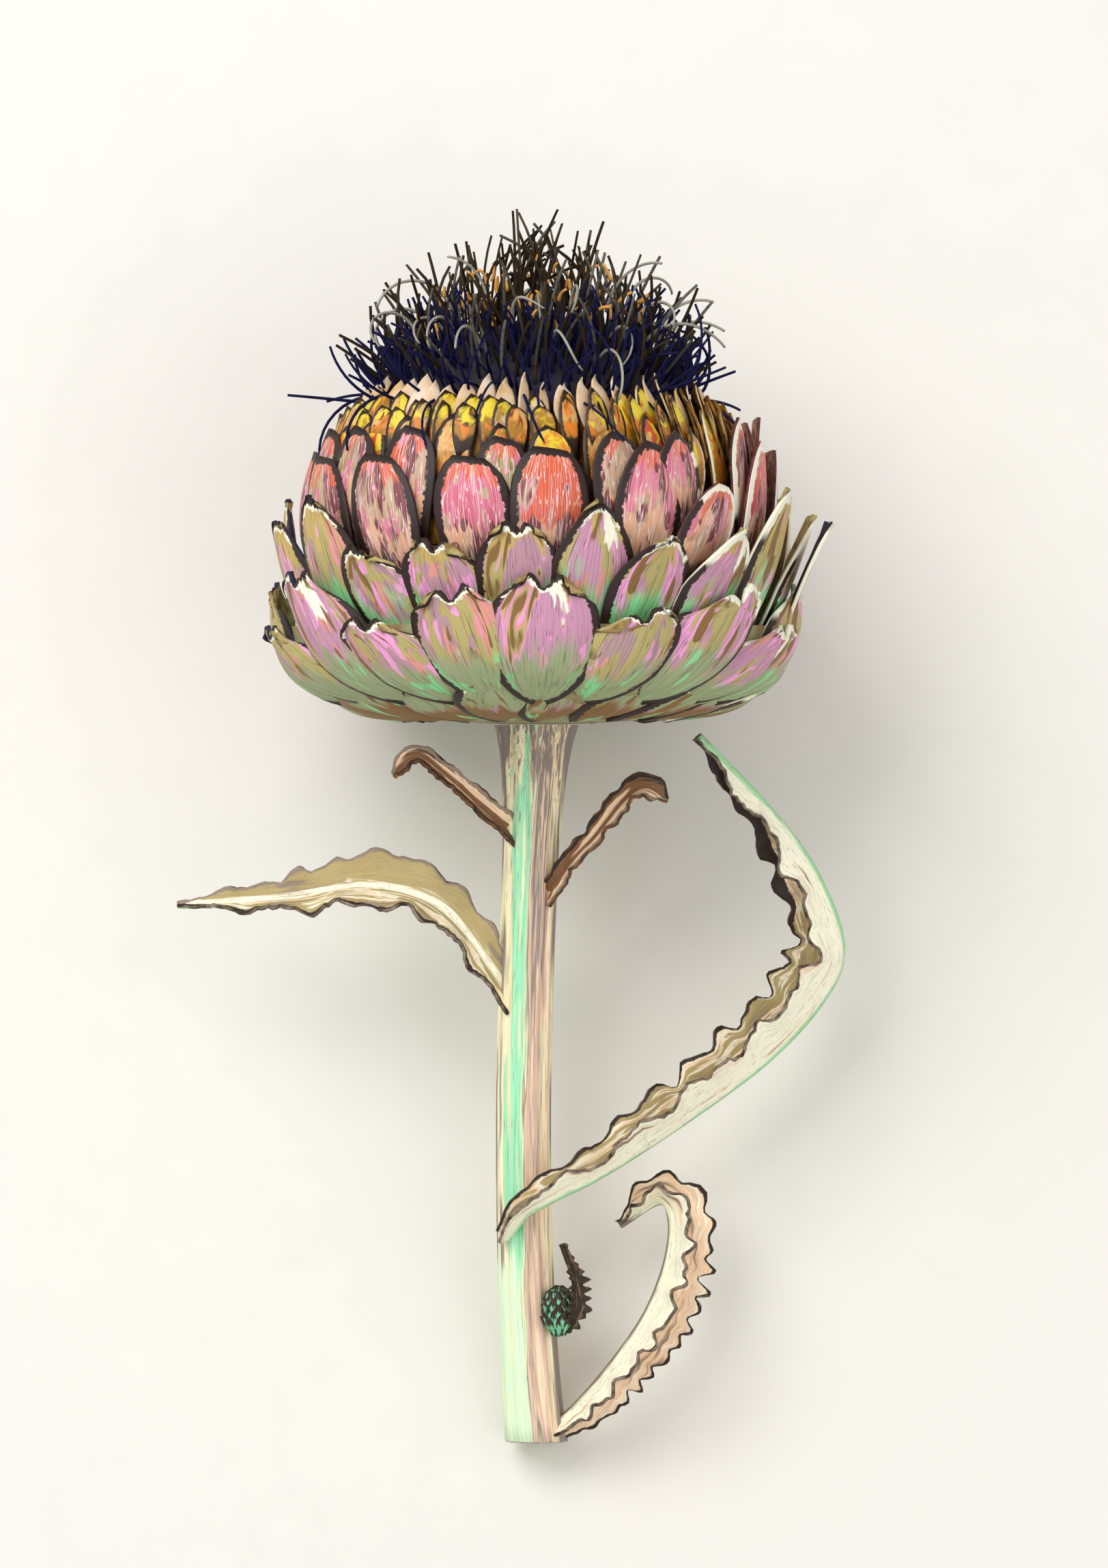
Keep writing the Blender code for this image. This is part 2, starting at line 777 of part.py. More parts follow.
def main():
    clear_scene()
    green = material("stem_green", (0.62, 0.66, 0.42), 0.6)
    mauve = material("mauve_bract", (0.50, 0.33, 0.42), 0.55)
    rosy = material("rosy_bract", (0.62, 0.16, 0.16), 0.5)
    golden = material("golden_bract", (0.66, 0.36, 0.06), 0.5)
    ink = material("dark_floret", (0.02, 0.02, 0.05), 0.7)
    pale = material("pale_leaf", (0.68, 0.60, 0.38), 0.65)
    brown = material("dry_leaf", (0.30, 0.15, 0.06), 0.7)
    clearance = add_object("stem_clearance", stem_mesh("stem_clearance", wider=GAP))
    outer_rings = (BASAL, LOWER, UPPER, STRAY)
    outer = make_rings("outer_bracts", HEART, outer_rings, mauve, solver="MANIFOLD")
    pieces = [
        add_object("stem", stem_mesh("stem"), green),
        outer,
        make_rings("middle_bracts", MIDDLE_CORE, (ROSY, RUSSET), rosy),
        make_rings("inner_bracts", INNER_CORE, (AMBER, GOLDEN), golden),
        make_florets(ink),
        make_bud(brown, clearance),
    ]
    for leaf in LEAVES:
        finish = brown if leaf.name.startswith("small") else pale
        pieces.append(make_leaf(leaf, finish, clearance))
    bpy.data.objects.remove(clearance)
    for obj in pieces:
        obj.data.shade_smooth()
        obj.data.set_sharp_from_angle(angle=SHARP_ANGLE)
    lay_down(pieces)
    press_flat(outer)


main()
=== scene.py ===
"""Shapes and colours a globe artichoke in flower, cut with its leafy stem.

The plant is shaped upright first: the middle of the stem's cut end is the origin, the head
stands over it on +Z, +X is its right and -Y its front. Each finished piece is then laid
down where the frame's stem lies. Sizes are in metres, or in millimetres where it says so.
"""

import math
import random
from typing import NamedTuple

import bmesh
import bpy
from bpy.props import FloatProperty, FloatVectorProperty, IntProperty, PointerProperty
from mathutils import Matrix, Vector, noise
from mathutils.geometry import interpolate_bezier


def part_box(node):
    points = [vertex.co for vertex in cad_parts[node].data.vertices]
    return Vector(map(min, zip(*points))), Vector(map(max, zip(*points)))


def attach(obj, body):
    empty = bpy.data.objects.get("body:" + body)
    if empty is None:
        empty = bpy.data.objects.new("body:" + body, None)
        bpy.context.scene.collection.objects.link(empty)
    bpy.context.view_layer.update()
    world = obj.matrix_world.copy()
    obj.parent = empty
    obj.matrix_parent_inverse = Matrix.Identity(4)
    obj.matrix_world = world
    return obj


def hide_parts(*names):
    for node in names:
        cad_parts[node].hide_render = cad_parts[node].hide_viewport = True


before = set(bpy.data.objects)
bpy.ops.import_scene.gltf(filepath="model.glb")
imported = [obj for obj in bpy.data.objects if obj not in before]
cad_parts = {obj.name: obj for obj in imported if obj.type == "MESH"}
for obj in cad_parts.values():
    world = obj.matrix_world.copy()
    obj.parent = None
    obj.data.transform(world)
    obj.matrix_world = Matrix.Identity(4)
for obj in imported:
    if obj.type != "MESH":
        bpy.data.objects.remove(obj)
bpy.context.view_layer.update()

bl_info = {
    "name": "Globe Artichoke in Flower",
    "version": (1, 0, 0),
    "blender": (4, 5, 0),
    "location": "3D View > Sidebar > Artichoke",
    "description": "Shapes and colours a globe artichoke in flower with its leafy stem",
    "category": "Add Mesh",
}

MM = 0.001
FRONT = Vector((0, -1, 0))
UP = Vector((0, 0, 1))
CURVE_STEPS = 40  # points read from each arc of a curve
BODY = "root"

# Stem
STEM_LENGTH = 174.7 * MM
STEM_RADIUS = 6.2 * MM
NECK_FLARE = 3.3 * MM
NECK_RUN = 12 * MM
FOOT_SWELL = 0.9 * MM
FOOT_RUN = 22 * MM
STEM_BOW = 3.2 * MM
BOW_SKEW = 0.8
RIBS = 12
FINE_RIBS = 48
STEM_SIDES = 96
STEM_RINGS = 60
DISH_RIM = 0.5 * MM  # left round the dish in the cut end
DISH_DEPTH = 0.25 * MM
LIE_ANGLE = math.radians(16)

# Head: its outline is two Bezier arcs, in millimetres of radius and of height over the stem
OUTLINE_ARCS = (
    ((12, 0), (60, -2), (66.5, 10), (65.8, 32)),
    ((65.8, 32), (65.8, 50), (56, 70), (37, 83)),
)
CROWN_RADIUS = 30 * MM  # how tightly a bract rounds across its width
LAP = 1.0 * MM  # how far a bract's edge sinks under its neighbour, or rises over it
EDGE_SHARE = 0.65  # a bract's thickness at its edge, as a share of that in its middle
TIP_CURVE = (2.3, 1.5)  # how late a bract narrows to its tip: a blunt one, a pointed one
TIP_ROUND = 0.75
POINT_NARROWS = 0.8  # the share of its tip's width that a pointed bract loses
NOTCH_FROM = 0.8  # the share of the length where a tip's notch and tears begin
TEAR_RATE = 0.42
TURN_DRAW = 0.06  # how far a bract is drawn to turn aside, as a share of its place
FLARE_DRAW = (0.5, 1.5)
CORE_STEPS = 64
HIGHLIGHT_SIDE = 56 * MM  # how far right of the axis the margins carry a painted highlight
POINTED_TINT = 0.22  # the highest tint of a bract with a painted highlight beside its tip

# Leaves
LOBE_RATE = 1.7  # lobes to each wave
WANDER_RATE = 0.11  # how fast the lobes' size changes along an edge, to the millimetre
CRINKLE_RATE = 0.45  # how fast the small waves do
BASE_RUN = 0.25  # the share of a leaf's length in which its waves grow
FULL_WAVE_WIDTH = 5 * MM
RIB_DEPTH = 2.0  # how many times the blade's thickness its midrib has

# Camera, in millimetres in the upright plant's frame
AIM = (4.25, 0, 160.3)
CAMERA_DISTANCE = 3189
LENS = 300
FILM_HEIGHT = 36

# Stage, in metres: where each light is, and its size
KEY_LIGHT = ((-0.55, 0.45, 1.1), 0.9)
FILL_LIGHT = ((0.7, -0.4, 0.9), 1.2)
FLOOR_REACH = 12


def tone(code):
    """A colour as linear light, from its six-digit web code."""
    shares = [int(code[place : place + 2], 16) / 255 for place in (0, 2, 4)]
    return tuple(s / 12.92 if s <= 0.04045 else ((s + 0.055) / 1.055) ** 2.4 for s in shares)


def colour(name, code, description):
    return FloatVectorProperty(
        name=name, description=description, subtype="COLOR", size=3, min=0, max=1, default=tone(code)
    )


def length(name, metres, description):
    return FloatProperty(
        name=name, description=description, default=metres, min=0, unit="LENGTH", subtype="DISTANCE"
    )


def factor(name, share, description):
    return FloatProperty(
        name=name, description=description, default=share, min=0, max=1, subtype="FACTOR"
    )


def number(name, default, description, least=1):
    return IntProperty(name=name, description=description, default=default, min=least)


def brightness(name, default, description, unit="NONE"):
    return FloatProperty(name=name, description=description, default=default, min=0, unit=unit)


class StemSettings(bpy.types.PropertyGroup):
    """What can be changed on the stem."""

    relief: factor("Rib relief", 0.06, "Height of the main ribs as a share of the stem's radius")
    fine_relief: factor("Fine relief", 0.018, "Height of the fine ribs as a share of the radius")
    cream: colour("Cream", "fdf3c6", "Light stripes at the left")
    mint: colour("Mint", "a4eebc", "Green stripes")
    taupe: colour("Taupe", "94877c", "Grey-brown stripes")
    peach: colour("Peach", "fcd9b8", "Warm light stripes")
    tan: colour("Tan", "d0ae9a", "Warm stripes at the right")
    frost: colour("Frost", "e2fad2", "The foot's left side")
    pith: colour("Pith", "e6e0b4", "Middle of the cut end")


class OuterSettings(bpy.types.PropertyGroup):
    """What can be changed on the head's lower and upper bracts."""

    relief: length("Rib relief", 0.00014, "Height of the ribs along a bract")
    fray: length("Fray", 0.0011, "Depth of the tears in a bract's tip")
    mauve: colour("Mauve", "ca8eae", "Main colour of the fresh bracts")
    dusk: colour("Dusk", "a88d84", "Main colour of the dull bracts")
    pink: colour("Pink", "ee9fd0", "Bright streaks")
    salmon: colour("Salmon", "dc9488", "Warm streaks")
    khaki: colour("Khaki", "b4a668", "Dry streaks")
    sage: colour("Sage", "9aa67a", "The root of a lower bract")
    mint: colour("Mint", "86d892", "The root of an upper bract")
    brown: colour("Brown", "84602e", "The head's underside")
    navy: colour("Navy", "161a3c", "Rims at the head's left")
    tan: colour("Tan", "c6a964", "Dry tops of the upper bracts")
    line: colour("Vein", "4a3a28", "Fine lengthwise veins")
    # Also the colour of the painted highlights beside pointed tips and along the margins at the head's
    # right.
    fringe: colour("Fringe", "f4f1da", "Torn, bleached tips")
    margin: colour("Margin", "27130a", "Dried margins")


class RosySettings(bpy.types.PropertyGroup):
    """What can be changed on the rosy and russet bracts."""

    relief: length("Rib relief", 0.0001, "Height of the ribs along a bract")
    rose: colour("Rose", "bf4a5e", "A bract's own colour")
    pink: colour("Pink", "d2708c", "A bract's own colour, and bright streaks")
    peach: colour("Peach", "e2ab86", "A bract's own colour")
    plum: colour("Plum", "78343c", "A bract's own colour, and deep streaks")
    buff: colour("Buff", "b99c7c", "A bract's own colour, and dry streaks")
    olive: colour("Olive", "8d8040", "A bract's own colour")
    coral: colour("Coral", "d65a2c", "The upper part")
    hatch: colour("Hatch", "f3d6d2", "Fine pale veins")
    # The colour of the painted highlight along the margins at the head's right.
    fringe: colour("Fringe", "f6f0dc", "Bleached margins")
    # Also the painted shade at the bracts' roots and on the middle core.
    margin: colour("Margin", "24110b", "Dried margins")


class InnerSettings(bpy.types.PropertyGroup):
    """What can be changed on the narrow bracts round the tuft."""

    orange: colour("Orange", "df7f1e", "Main colour of an amber bract")
    ochre: colour("Ochre", "a87512", "Dry streaks")
    ember: colour("Ember", "d9502a", "Red streaks")
    yellow: colour("Yellow", "ead02e", "Bright tips")
    buff: colour("Buff", "dcae6c", "Pale streaks")
    bleached: colour("Bleached", "f2dcc4", "The pale points under the threads")
    # The colour of the painted highlight along the margins at the head's right.
    fringe: colour("Fringe", "f6f0dc", "Bleached margins")
    # Also the painted shade at the bracts' roots and on the inner core.
    margin: colour("Margin", "2c190c", "Dried margins")


class FloretSettings(bpy.types.PropertyGroup):
    """What can be changed on the tuft of threads."""

    brown_count: number("Brown threads", 250, "How many stand over the whole tuft")
    navy_count: number("Navy threads", 380, "How many stand round the rim")
    stray_count: number("Stray threads", 46, "How many reach out past the rim")
    grey_count: number("Grey threads", 30, "How many curl long over the tuft")
    tan_count: number("Flecks", 90, "How many short tan ones lie in the tuft")
    radius: length("Thread radius", 0.00046, "Half the thickness of a thread at its root")
    brown: colour("Brown", "2a1e0c", "Upper threads")
    navy: colour("Navy", "11123e", "Lower threads")
    grey: colour("Grey", "a5a196", "Long curled threads")
    tan: colour("Tan", "dea052", "Flecks in the tuft")


class LeafSettings(bpy.types.PropertyGroup):
    """What can be changed on the leaves of the stem."""

    ripple: length("Ripple", 0.00035, "Height of the small waves along an edge")
    cream: colour("Cream", "fbf6dc", "The outer face")
    mint: colour("Mint", "a9e6aa", "Green streaks beside the midrib")
    peach: colour("Peach", "f8d5b0", "Warm streaks")
    khaki: colour("Khaki", "b4a06a", "The inner face")
    taupe: colour("Taupe", "93826f", "Grey-brown streaks")
    dry: colour("Dry", "7e5530", "Dried leaves")
    edge: colour("Edge", "2b190e", "Dried edges")


class BudSettings(bpy.types.PropertyGroup):
    """What can be changed on the side bud."""

    rings: number("Rings", 6, "Rings of scales", least=2)
    scales: number("Scales", 9, "Scales in a ring", least=3)
    green: colour("Green", "76c899", "The young scales")
    brown: colour("Brown", "2e2114", "The dried scales")
    tan: colour("Tan", "6e5438", "Streaks of the bud's leaf")


class StageSettings(bpy.types.PropertyGroup):
    """What can be changed on the floor and its light."""

    floor: colour("Floor", "e9e6df", "The floor's colour")
    sky: brightness("Sky", 0.62, "Strength of the even light")
    key_power: brightness("Key", 11, "Main light", "POWER")
    fill_power: brightness("Fill", 4, "Second light", "POWER")


class ArtichokeSettings(bpy.types.PropertyGroup):
    """All settings of the artichoke."""

    stem: PointerProperty(type=StemSettings)
    outer: PointerProperty(type=OuterSettings)
    rosy: PointerProperty(type=RosySettings)
    inner: PointerProperty(type=InnerSettings)
    florets: PointerProperty(type=FloretSettings)
    leaves: PointerProperty(type=LeafSettings)
    bud: PointerProperty(type=BudSettings)
    stage: PointerProperty(type=StageSettings)


class Shape(NamedTuple):
    """How one bract differs from its ring: the turn to the right in degrees, how much
    further out its tip is and how much higher the tip's right side is than its left,
    both in millimetres, and how far it is pointed, from 0 to 1. tint is what its colour
    is read from."""

    turn: float
    tip: float
    slant: float = 0.0
    point: float = 0.0
    tint: float = 0.5


class Row(NamedTuple):
    """One ring of bracts, in millimetres and degrees. tip is measured along the head's
    outline from the stem; lean and bow say how the bract sinks below that outline
    towards its root; flare stands its tip out, right does so on the head's right only,
    and notch cuts into the tip's middle. root_share and tip_share are its widths there,
    as shares of its widest, which is at the share widest. fan turns the roots at the
    sides towards the front, in radians. shapes are the bracts at the front from left to
    right, repeated round the ring; a ring without them draws them, as far as tip_draw
    and width_draw say. In a ring from_front, each bract is overlapped by its neighbour
    nearer the front."""

    name: str
    count: int
    phase: float
    tip: float
    length: float
    width: float
    lean: float
    bow: float
    thick: float
    flare: float = 0.0
    right: float = 0.0
    notch: float = 0.0
    from_front: bool = False
    root_share: float = 0.42
    widest: float = 0.62
    tip_share: float = 0.26
    fan: float = 0.0
    shapes: tuple = ()
    tip_draw: float = 1.3
    width_draw: float = 0.0
    ribs: int = 5
    columns: int = 22
    lengths: int = 18


BASAL = Row(
    "basal", 16, 9, tip=46, length=26, width=22, lean=0.04, bow=0, thick=1.3, flare=-5,
    fan=0.3, tip_draw=2, width_draw=0.1,
)
LOWER = Row(
    "lower", 17, 3, tip=77, length=40, width=29, lean=0.02, bow=0.0012, thick=1.5, flare=0.6,
    right=-2, notch=3.2, from_front=True, root_share=0.12, tip_share=0.42, fan=0.45,
    shapes=(
        Shape(1.7, -11, 0, 0, 0.6), Shape(-1.5, 2, 0, 0, 0.2), Shape(0.4, -9.5, 0, 0, 0.5),
        Shape(0, -1, 3, 0, 0.7), Shape(-1.2, 1.5, -2, 0, 0.1), Shape(-0.5, -6, 3.5, 0, 0.8),
        Shape(4, -0.5, 4, 0, 0.4), Shape(3.5, -11, 0, 0, 0.2), Shape(0, 0, -2, 0, 0.5),
    ),
)
UPPER = Row(
    "upper", 19, -4, tip=91, length=36, width=22.5, lean=0.20, bow=0.0036, thick=1.5, flare=1.2,
    right=4, notch=2.6, fan=0.25, tip_share=0.36,
    shapes=(
        Shape(0, 0, 0, 0.5, 0.4), Shape(0.8, 6, -2, 0.5, 0.8), Shape(1.4, -6.5, -3, 0.3, 0.6),
        Shape(0.4, -4.3, -1.5, 0, 0.5), Shape(0, -0.6, 0, 0, 0.45), Shape(-0.4, 3.8, 0, 1, 0.1),
        Shape(-4.5, -4, 2, 0.7, 0.3), Shape(-3.5, -3.3, 0, 1, 0.2), Shape(0, 6.3, 0, 0.4, 0.9),
    ),
)
STRAY = Row(
    "stray", 1, 80, tip=88, length=36, width=8, lean=0.05, bow=0.006, thick=1.4, flare=9.0,
)
ROSY = Row(
    "rosy", 15, 3.6, tip=109, length=38, width=20, lean=0.20, bow=0.0055, thick=1.4, flare=0.4,
    right=3.5, root_share=0.3, widest=0.66, tip_share=0.42, fan=0.2,
    shapes=(
        Shape(0, 0, 0, 0.2, 0.95), Shape(0.9, 0, 0, 0.2, 0.75), Shape(3.9, -1, 0, 0, 0.35),
        Shape(0, 1.5, 0, 0, 0.1), Shape(3.9, 3, 0, 0.5, 0.5), Shape(-3.6, -9, 0, 0.4, 0.6),
        Shape(0, 2, 0, 0, 0.2),
    ),
)
RUSSET = Row(
    "russet", 15, 15.6, tip=117, length=32, width=15, lean=0.20, bow=0.0075, thick=1.3, flare=0.9,
    right=4, root_share=0.4, widest=0.66,
    shapes=(
        Shape(0, 0, 0, 0.3, 0.9), Shape(-3, 0, 0, 0, 0.05), Shape(0, -4, 0, 0, 0.9),
        Shape(6.4, -2.7, 0, 0, 0.85), Shape(0, -3, 0, 0.3, 0.5), Shape(4, 0, 0, 0, 0.7),
    ),
)
AMBER = Row(
    "amber", 24, 5, tip=121.5, length=26, width=10, lean=0.30, bow=0.011, thick=1.1,
    flare=-1.2, tip_draw=3.5, width_draw=0.3, columns=10, lengths=12, ribs=3,
)
GOLDEN = Row(
    "golden", 36, 0, tip=128.5, length=20, width=6.4, lean=0.20, bow=0.02, thick=1.0,
    flare=0.3, tip_share=0.4, tip_draw=3, width_draw=0.3, columns=8, lengths=10, ribs=3,
)
GILT = Row(
    "gilt", 46, 2, tip=125, length=13, width=5, lean=0.16, bow=0.02, thick=0.8,
    flare=0.6, tip_share=0.4, tip_draw=3, width_draw=0.4, columns=6, lengths=8, ribs=1,
)
BLEACHED = Row(
    "bleached", 54, 3, tip=133, length=12, width=4.6, lean=0.16, bow=0.02, thick=0.6,
    flare=0.9, widest=0.4, tip_share=0.04, tip_draw=3.2, width_draw=0.45, columns=6,
    lengths=8, ribs=1,
)

# Cores that the rings grow from, in millimetres of radius and of height over the stem
HEART = ((10, 0.3), (34, 1.6), (48, 5.2), (56, 10), (59.5, 16), (60, 24))
MIDDLE_CORE = ((50, 24.3), (51.5, 43))
INNER_CORE = ((49.2, 43.3), (49.5, 47), (45, 60), (36, 74))
TUFT_CORE = ((34, 74.3), (35.5, 79), (30, 86), (20, 93), (8, 98))
TUFT_RADIUS = 34.5 * MM
GOLDEN_ANGLE = math.pi * (3 - math.sqrt(5))


class Thread(NamedTuple):
    """One kind of thread in the tuft, in millimetres and radians. It stands between the
    shares inner and outer of the tuft's radius. length is its length in the middle,
    shorter what it loses at the rim, and lean how far it leans out there. length_draw and
    lean_draw say how far these are drawn to differ, curl and twist how far it is drawn to
    bend out and aside, rise how far over the core it starts, and thicker how many times
    the others' radius it has."""

    name: str
    inner: float
    outer: float
    length: float
    shorter: float
    length_draw: float
    lean: float
    lean_draw: float
    curl: tuple
    twist: float
    rise: tuple = (-3, -3)
    thicker: float = 1.0
    steps: int = 7


BROWN_THREADS = Thread("brown", 0.0, 0.95, 30, 11, 5, 0.95, 0.24, (-1.3, 0.4), 0.6, thicker=1.1)
NAVY_THREADS = Thread("navy", 0.55, 1.0, 20, 5, 4, 0.9, 0.4, (-1.6, 0.7), 0.8)
STRAY_THREADS = Thread("stray", 0.94, 1.0, 27, 1, 5, 1.3, 0.3, (-2.8, 2.4), 0.7, steps=12)
GREY_THREADS = Thread("grey", 0.55, 0.95, 26, 4, 4, 0.8, 0.4, (1.2, 3.4), 1.6, (5, 11), steps=14)
TAN_FLECKS = Thread("tan", 0.2, 0.85, 4, 0.5, 1.5, 0.9, 0.7, (-1.0, 1.0), 0.9, (5, 15), 1.2, 4)

# The side bud, at the stem's right front: its body and scales are in millimetres
BUD_CENTRE = Vector((5.4, -5.6, 32.5)) * MM
BUD_PROFILE = ((0.4, -6.9), (1.6, -6.5), (3.4, -3), (3.7, 1), (2.6, 4.5), (0.3, 5.4))
BUD_SIDES = 24
SCALE_LENGTH = 4.6
SCALE_HALF_WIDTH = 1.6
SCALE_SPAN = 0.42  # radians from a scale's middle to its side
SCALE_RISE = 0.35  # how far a scale's middle stands over the bud's body
TOP_SCALES = 3.4  # how far below the body's last bend the top ring of scales is rooted


class Leaf(NamedTuple):
    """One leaf of the stem. midrib holds points in millimetres; widths pairs a share of
    the midrib with the half-width there; trough turns the open side of the fold from the
    midrib's left (0) to the front (90), from base to tip; spread is the angle from the
    trough's middle to each half. Its edges rise and fall by wave, as often as waves says,
    and widen by lobes, a share of the width."""

    name: str
    midrib: tuple
    widths: tuple
    trough: tuple
    spread: float
    wave: float
    waves: float
    lobes: float
    steps: int
    thick: float = 0.9


LEAVES = (
    Leaf(
        "leaf_left",
        midrib=(
            (-5, -1.5, 106), (-16, -4, 122.5), (-26, -5, 132), (-42, -4, 135.5),
            (-60, 1, 132.5), (-88, 7, 131),
        ),
        widths=((0, 4.2), (0.25, 6.2), (0.45, 8.6), (0.62, 6.6), (0.85, 3.4), (1, 0.7)),
        trough=(118, 128), spread=64, wave=1.5, waves=6, lobes=0.14, steps=90,
    ),
    Leaf(
        "leaf_long",
        midrib=(
            (-7, -3.5, 49.5), (-3.5, -9.3, 55.5), (4, -10.3, 60), (16, -8, 66),
            (37, -3, 79.5), (56, 3, 93.5), (69, 8, 107.5), (74, 9, 119.5),
            (69, 8, 135.5), (58.5, 4, 151), (39, -4, 171.5),
        ),
        widths=((0, 3.6), (0.12, 6), (0.35, 10.5), (0.55, 12.5), (0.75, 9.5), (0.9, 4.5), (1, 0.7)),
        trough=(30, 22), spread=30, wave=1.3, waves=9, lobes=0.16, steps=140,
    ),
    Leaf(
        "leaf_low",
        midrib=(
            (3, -1, 2.5), (10, -3, 8), (20.5, -6, 20.5), (28, -7, 32),
            (32.5, -5, 44), (33.5, -2, 54), (30, 2, 59), (20, 3, 53),
        ),
        widths=((0, 4), (0.2, 8), (0.5, 10.5), (0.75, 9.5), (0.88, 6), (1, 0.8)),
        trough=(158, 150), spread=38, wave=1.0, waves=11, lobes=0.13, steps=120,
    ),
    Leaf(
        "small_leaf_left",
        midrib=((-3, -2, 146), (-14, -6, 155.5), (-24, -9, 164), (-29.5, -11, 167), (-35, -9, 162.5)),
        widths=((0, 3.4), (0.3, 3.2), (0.7, 2.6), (0.9, 3), (1, 0.7)),
        trough=(110, 120), spread=52, wave=0.7, waves=3, lobes=0.1, steps=48,
    ),
    Leaf(
        "small_leaf_right",
        midrib=(
            (2, -3, 132), (9, -7, 142), (15, -8, 148.5), (21, -9, 156),
            (26.5, -11, 159.5), (32, -9, 156.5),
        ),
        widths=((0, 3), (0.35, 2.8), (0.7, 3.4), (0.9, 3.6), (1, 0.7)),
        trough=(70, 60), spread=50, wave=0.9, waves=4, lobes=0.14, steps=54,
    ),
)
BUD_LEAF = Leaf(
    "bud_leaf",
    midrib=((5.5, -6.5, 27), (9.5, -8, 31), (9.8, -8.5, 39), (6.6, -9, 48.5)),
    widths=((0, 1.6), (0.4, 2.6), (1, 0.5)),
    trough=(120, 120), spread=60, wave=0.3, waves=7, lobes=0.35, steps=60, thick=0.8,
)
LEAF_COLUMNS = 16


class Spot(NamedTuple):
    """One point of a sheet: where it is, the two vectors that its material reads, and how
    thick the sheet is there, as a share of its thickest."""

    point: Vector
    fibre: tuple
    mark: tuple
    body: float = 1.0


class Paint:
    """The nodes of one material. Each method adds a node and returns its output."""

    def __init__(self, name):
        self.material = bpy.data.materials.new(name)
        self.material.use_nodes = True
        self.tree = self.material.node_tree
        self.shader = self.tree.nodes["Principled BSDF"]

    def node(self, kind, values, **options):
        """Adds a node, sets its options and fills its inputs."""
        made = self.tree.nodes.new(kind)
        for option, value in options.items():
            setattr(made, option, value)
        for key, value in values.items():
            if isinstance(value, bpy.types.NodeSocket):
                self.tree.links.new(value, made.inputs[key])
            else:
                made.inputs[key].default_value = value
        return made

    def attribute(self, name):
        return self.node("ShaderNodeAttribute", {}, attribute_name=name).outputs["Vector"]

    def position(self):
        return self.node("ShaderNodeTexCoord", {}).outputs["Object"]

    def split(self, vector):
        return self.node("ShaderNodeSeparateXYZ", {0: vector}).outputs

    def stretch(self, vector, scale):
        made = self.node("ShaderNodeVectorMath", {0: vector, 1: scale}, operation="MULTIPLY")
        return made.outputs[0]

    def clouds(self, vector, scale, detail=2.0, distortion=0.0):
        """Soft noise at a scale, which is one number or one for each axis."""
        if isinstance(scale, tuple):
            vector, scale = self.stretch(vector, scale), 1.0
        values = {"Vector": vector, "Scale": scale, "Detail": detail, "Distortion": distortion}
        return self.node("ShaderNodeTexNoise", values).outputs[0]

    def maths(self, operation, first, second=0.0):
        return self.node("ShaderNodeMath", {0: first, 1: second}, operation=operation).outputs[0]

    def times(self, first, second):
        return self.maths("MULTIPLY", first, second)

    def plus(self, value, other, share):
        """A value with a share of another one added to it."""
        return self.maths("ADD", value, self.times(other, share))

    def smooth(self, value, start, end):
        """0 before start and 1 after end, easing between them."""
        values = {"Value": value, "From Min": start, "From Max": end}
        made = self.node("ShaderNodeMapRange", values, interpolation_type="SMOOTHSTEP")
        return made.outputs[0]

    def band(self, value, start, full, fading, end):
        """1 between full and fading, easing to 0 at start and at end."""
        return self.times(self.smooth(value, start, full), self.smooth(value, end, fading))

    def ramp(self, value, stops):
        made = self.node("ShaderNodeValToRGB", {0: value})
        elements = made.color_ramp.elements
        for element, (place, shade) in ((elements[0], stops[0]), (elements[1], stops[-1])):
            element.position = place
            element.color = (*shade, 1)
        for place, shade in stops[1:-1]:
            elements.new(place).color = (*shade, 1)
        return made.outputs[0]

    def mix(self, share, first, second):
        """A colour between two, which are colours or outputs."""
        values = {0: share}
        for key, shade in ((6, first), (7, second)):
            values[key] = shade if isinstance(shade, bpy.types.NodeSocket) else (*shade, 1)
        return self.node("ShaderNodeMix", values, data_type="RGBA").outputs[2]

    def layer(self, body, shade, value, start, end, strength=1.0):
        """Lays a colour over another where a value passes from start to end."""
        return self.mix(self.times(self.smooth(value, start, end), strength), body, shade)

    def layers(self, body, *layers):
        """Lays several colours over another in turn, each given as layer takes it."""
        for each in layers:
            body = self.layer(body, *each)
        return body

    def lines(self, body, shade, pattern, width, strength):
        """Draws thin lines of a colour over another, where a pattern crosses its middle."""
        away = self.maths("ABSOLUTE", self.maths("SUBTRACT", pattern, 0.5))
        return self.layer(body, shade, away, width, width * 0.3, strength)

    def finish(self, shade, roughness, height=None, depth=0.0):
        """Sets the shader from a colour, a roughness and a height in metres."""
        self.tree.links.new(shade, self.shader.inputs["Base Color"])
        if isinstance(roughness, bpy.types.NodeSocket):
            self.tree.links.new(roughness, self.shader.inputs["Roughness"])
        else:
            self.shader.inputs["Roughness"].default_value = roughness
        if height is not None:
            values = {"Height": height, "Distance": depth, "Strength": 1.0}
            bump = self.node("ShaderNodeBump", values).outputs[0]
            self.tree.links.new(bump, self.shader.inputs["Normal"])
        return self.material


def stem_centre(height):
    """How far to the right the bowed stem's middle runs at a height."""
    return -STEM_BOW * math.sin(math.pi * (height / STEM_LENGTH) ** BOW_SKEW)


def stem_radius(height, turn, relief=0.06):
    neck = NECK_FLARE * math.exp((height - STEM_LENGTH) / NECK_RUN)
    foot = FOOT_SWELL * math.exp(-height / FOOT_RUN)
    return (STEM_RADIUS + neck + foot) * (1 + relief * math.cos(RIBS * turn))


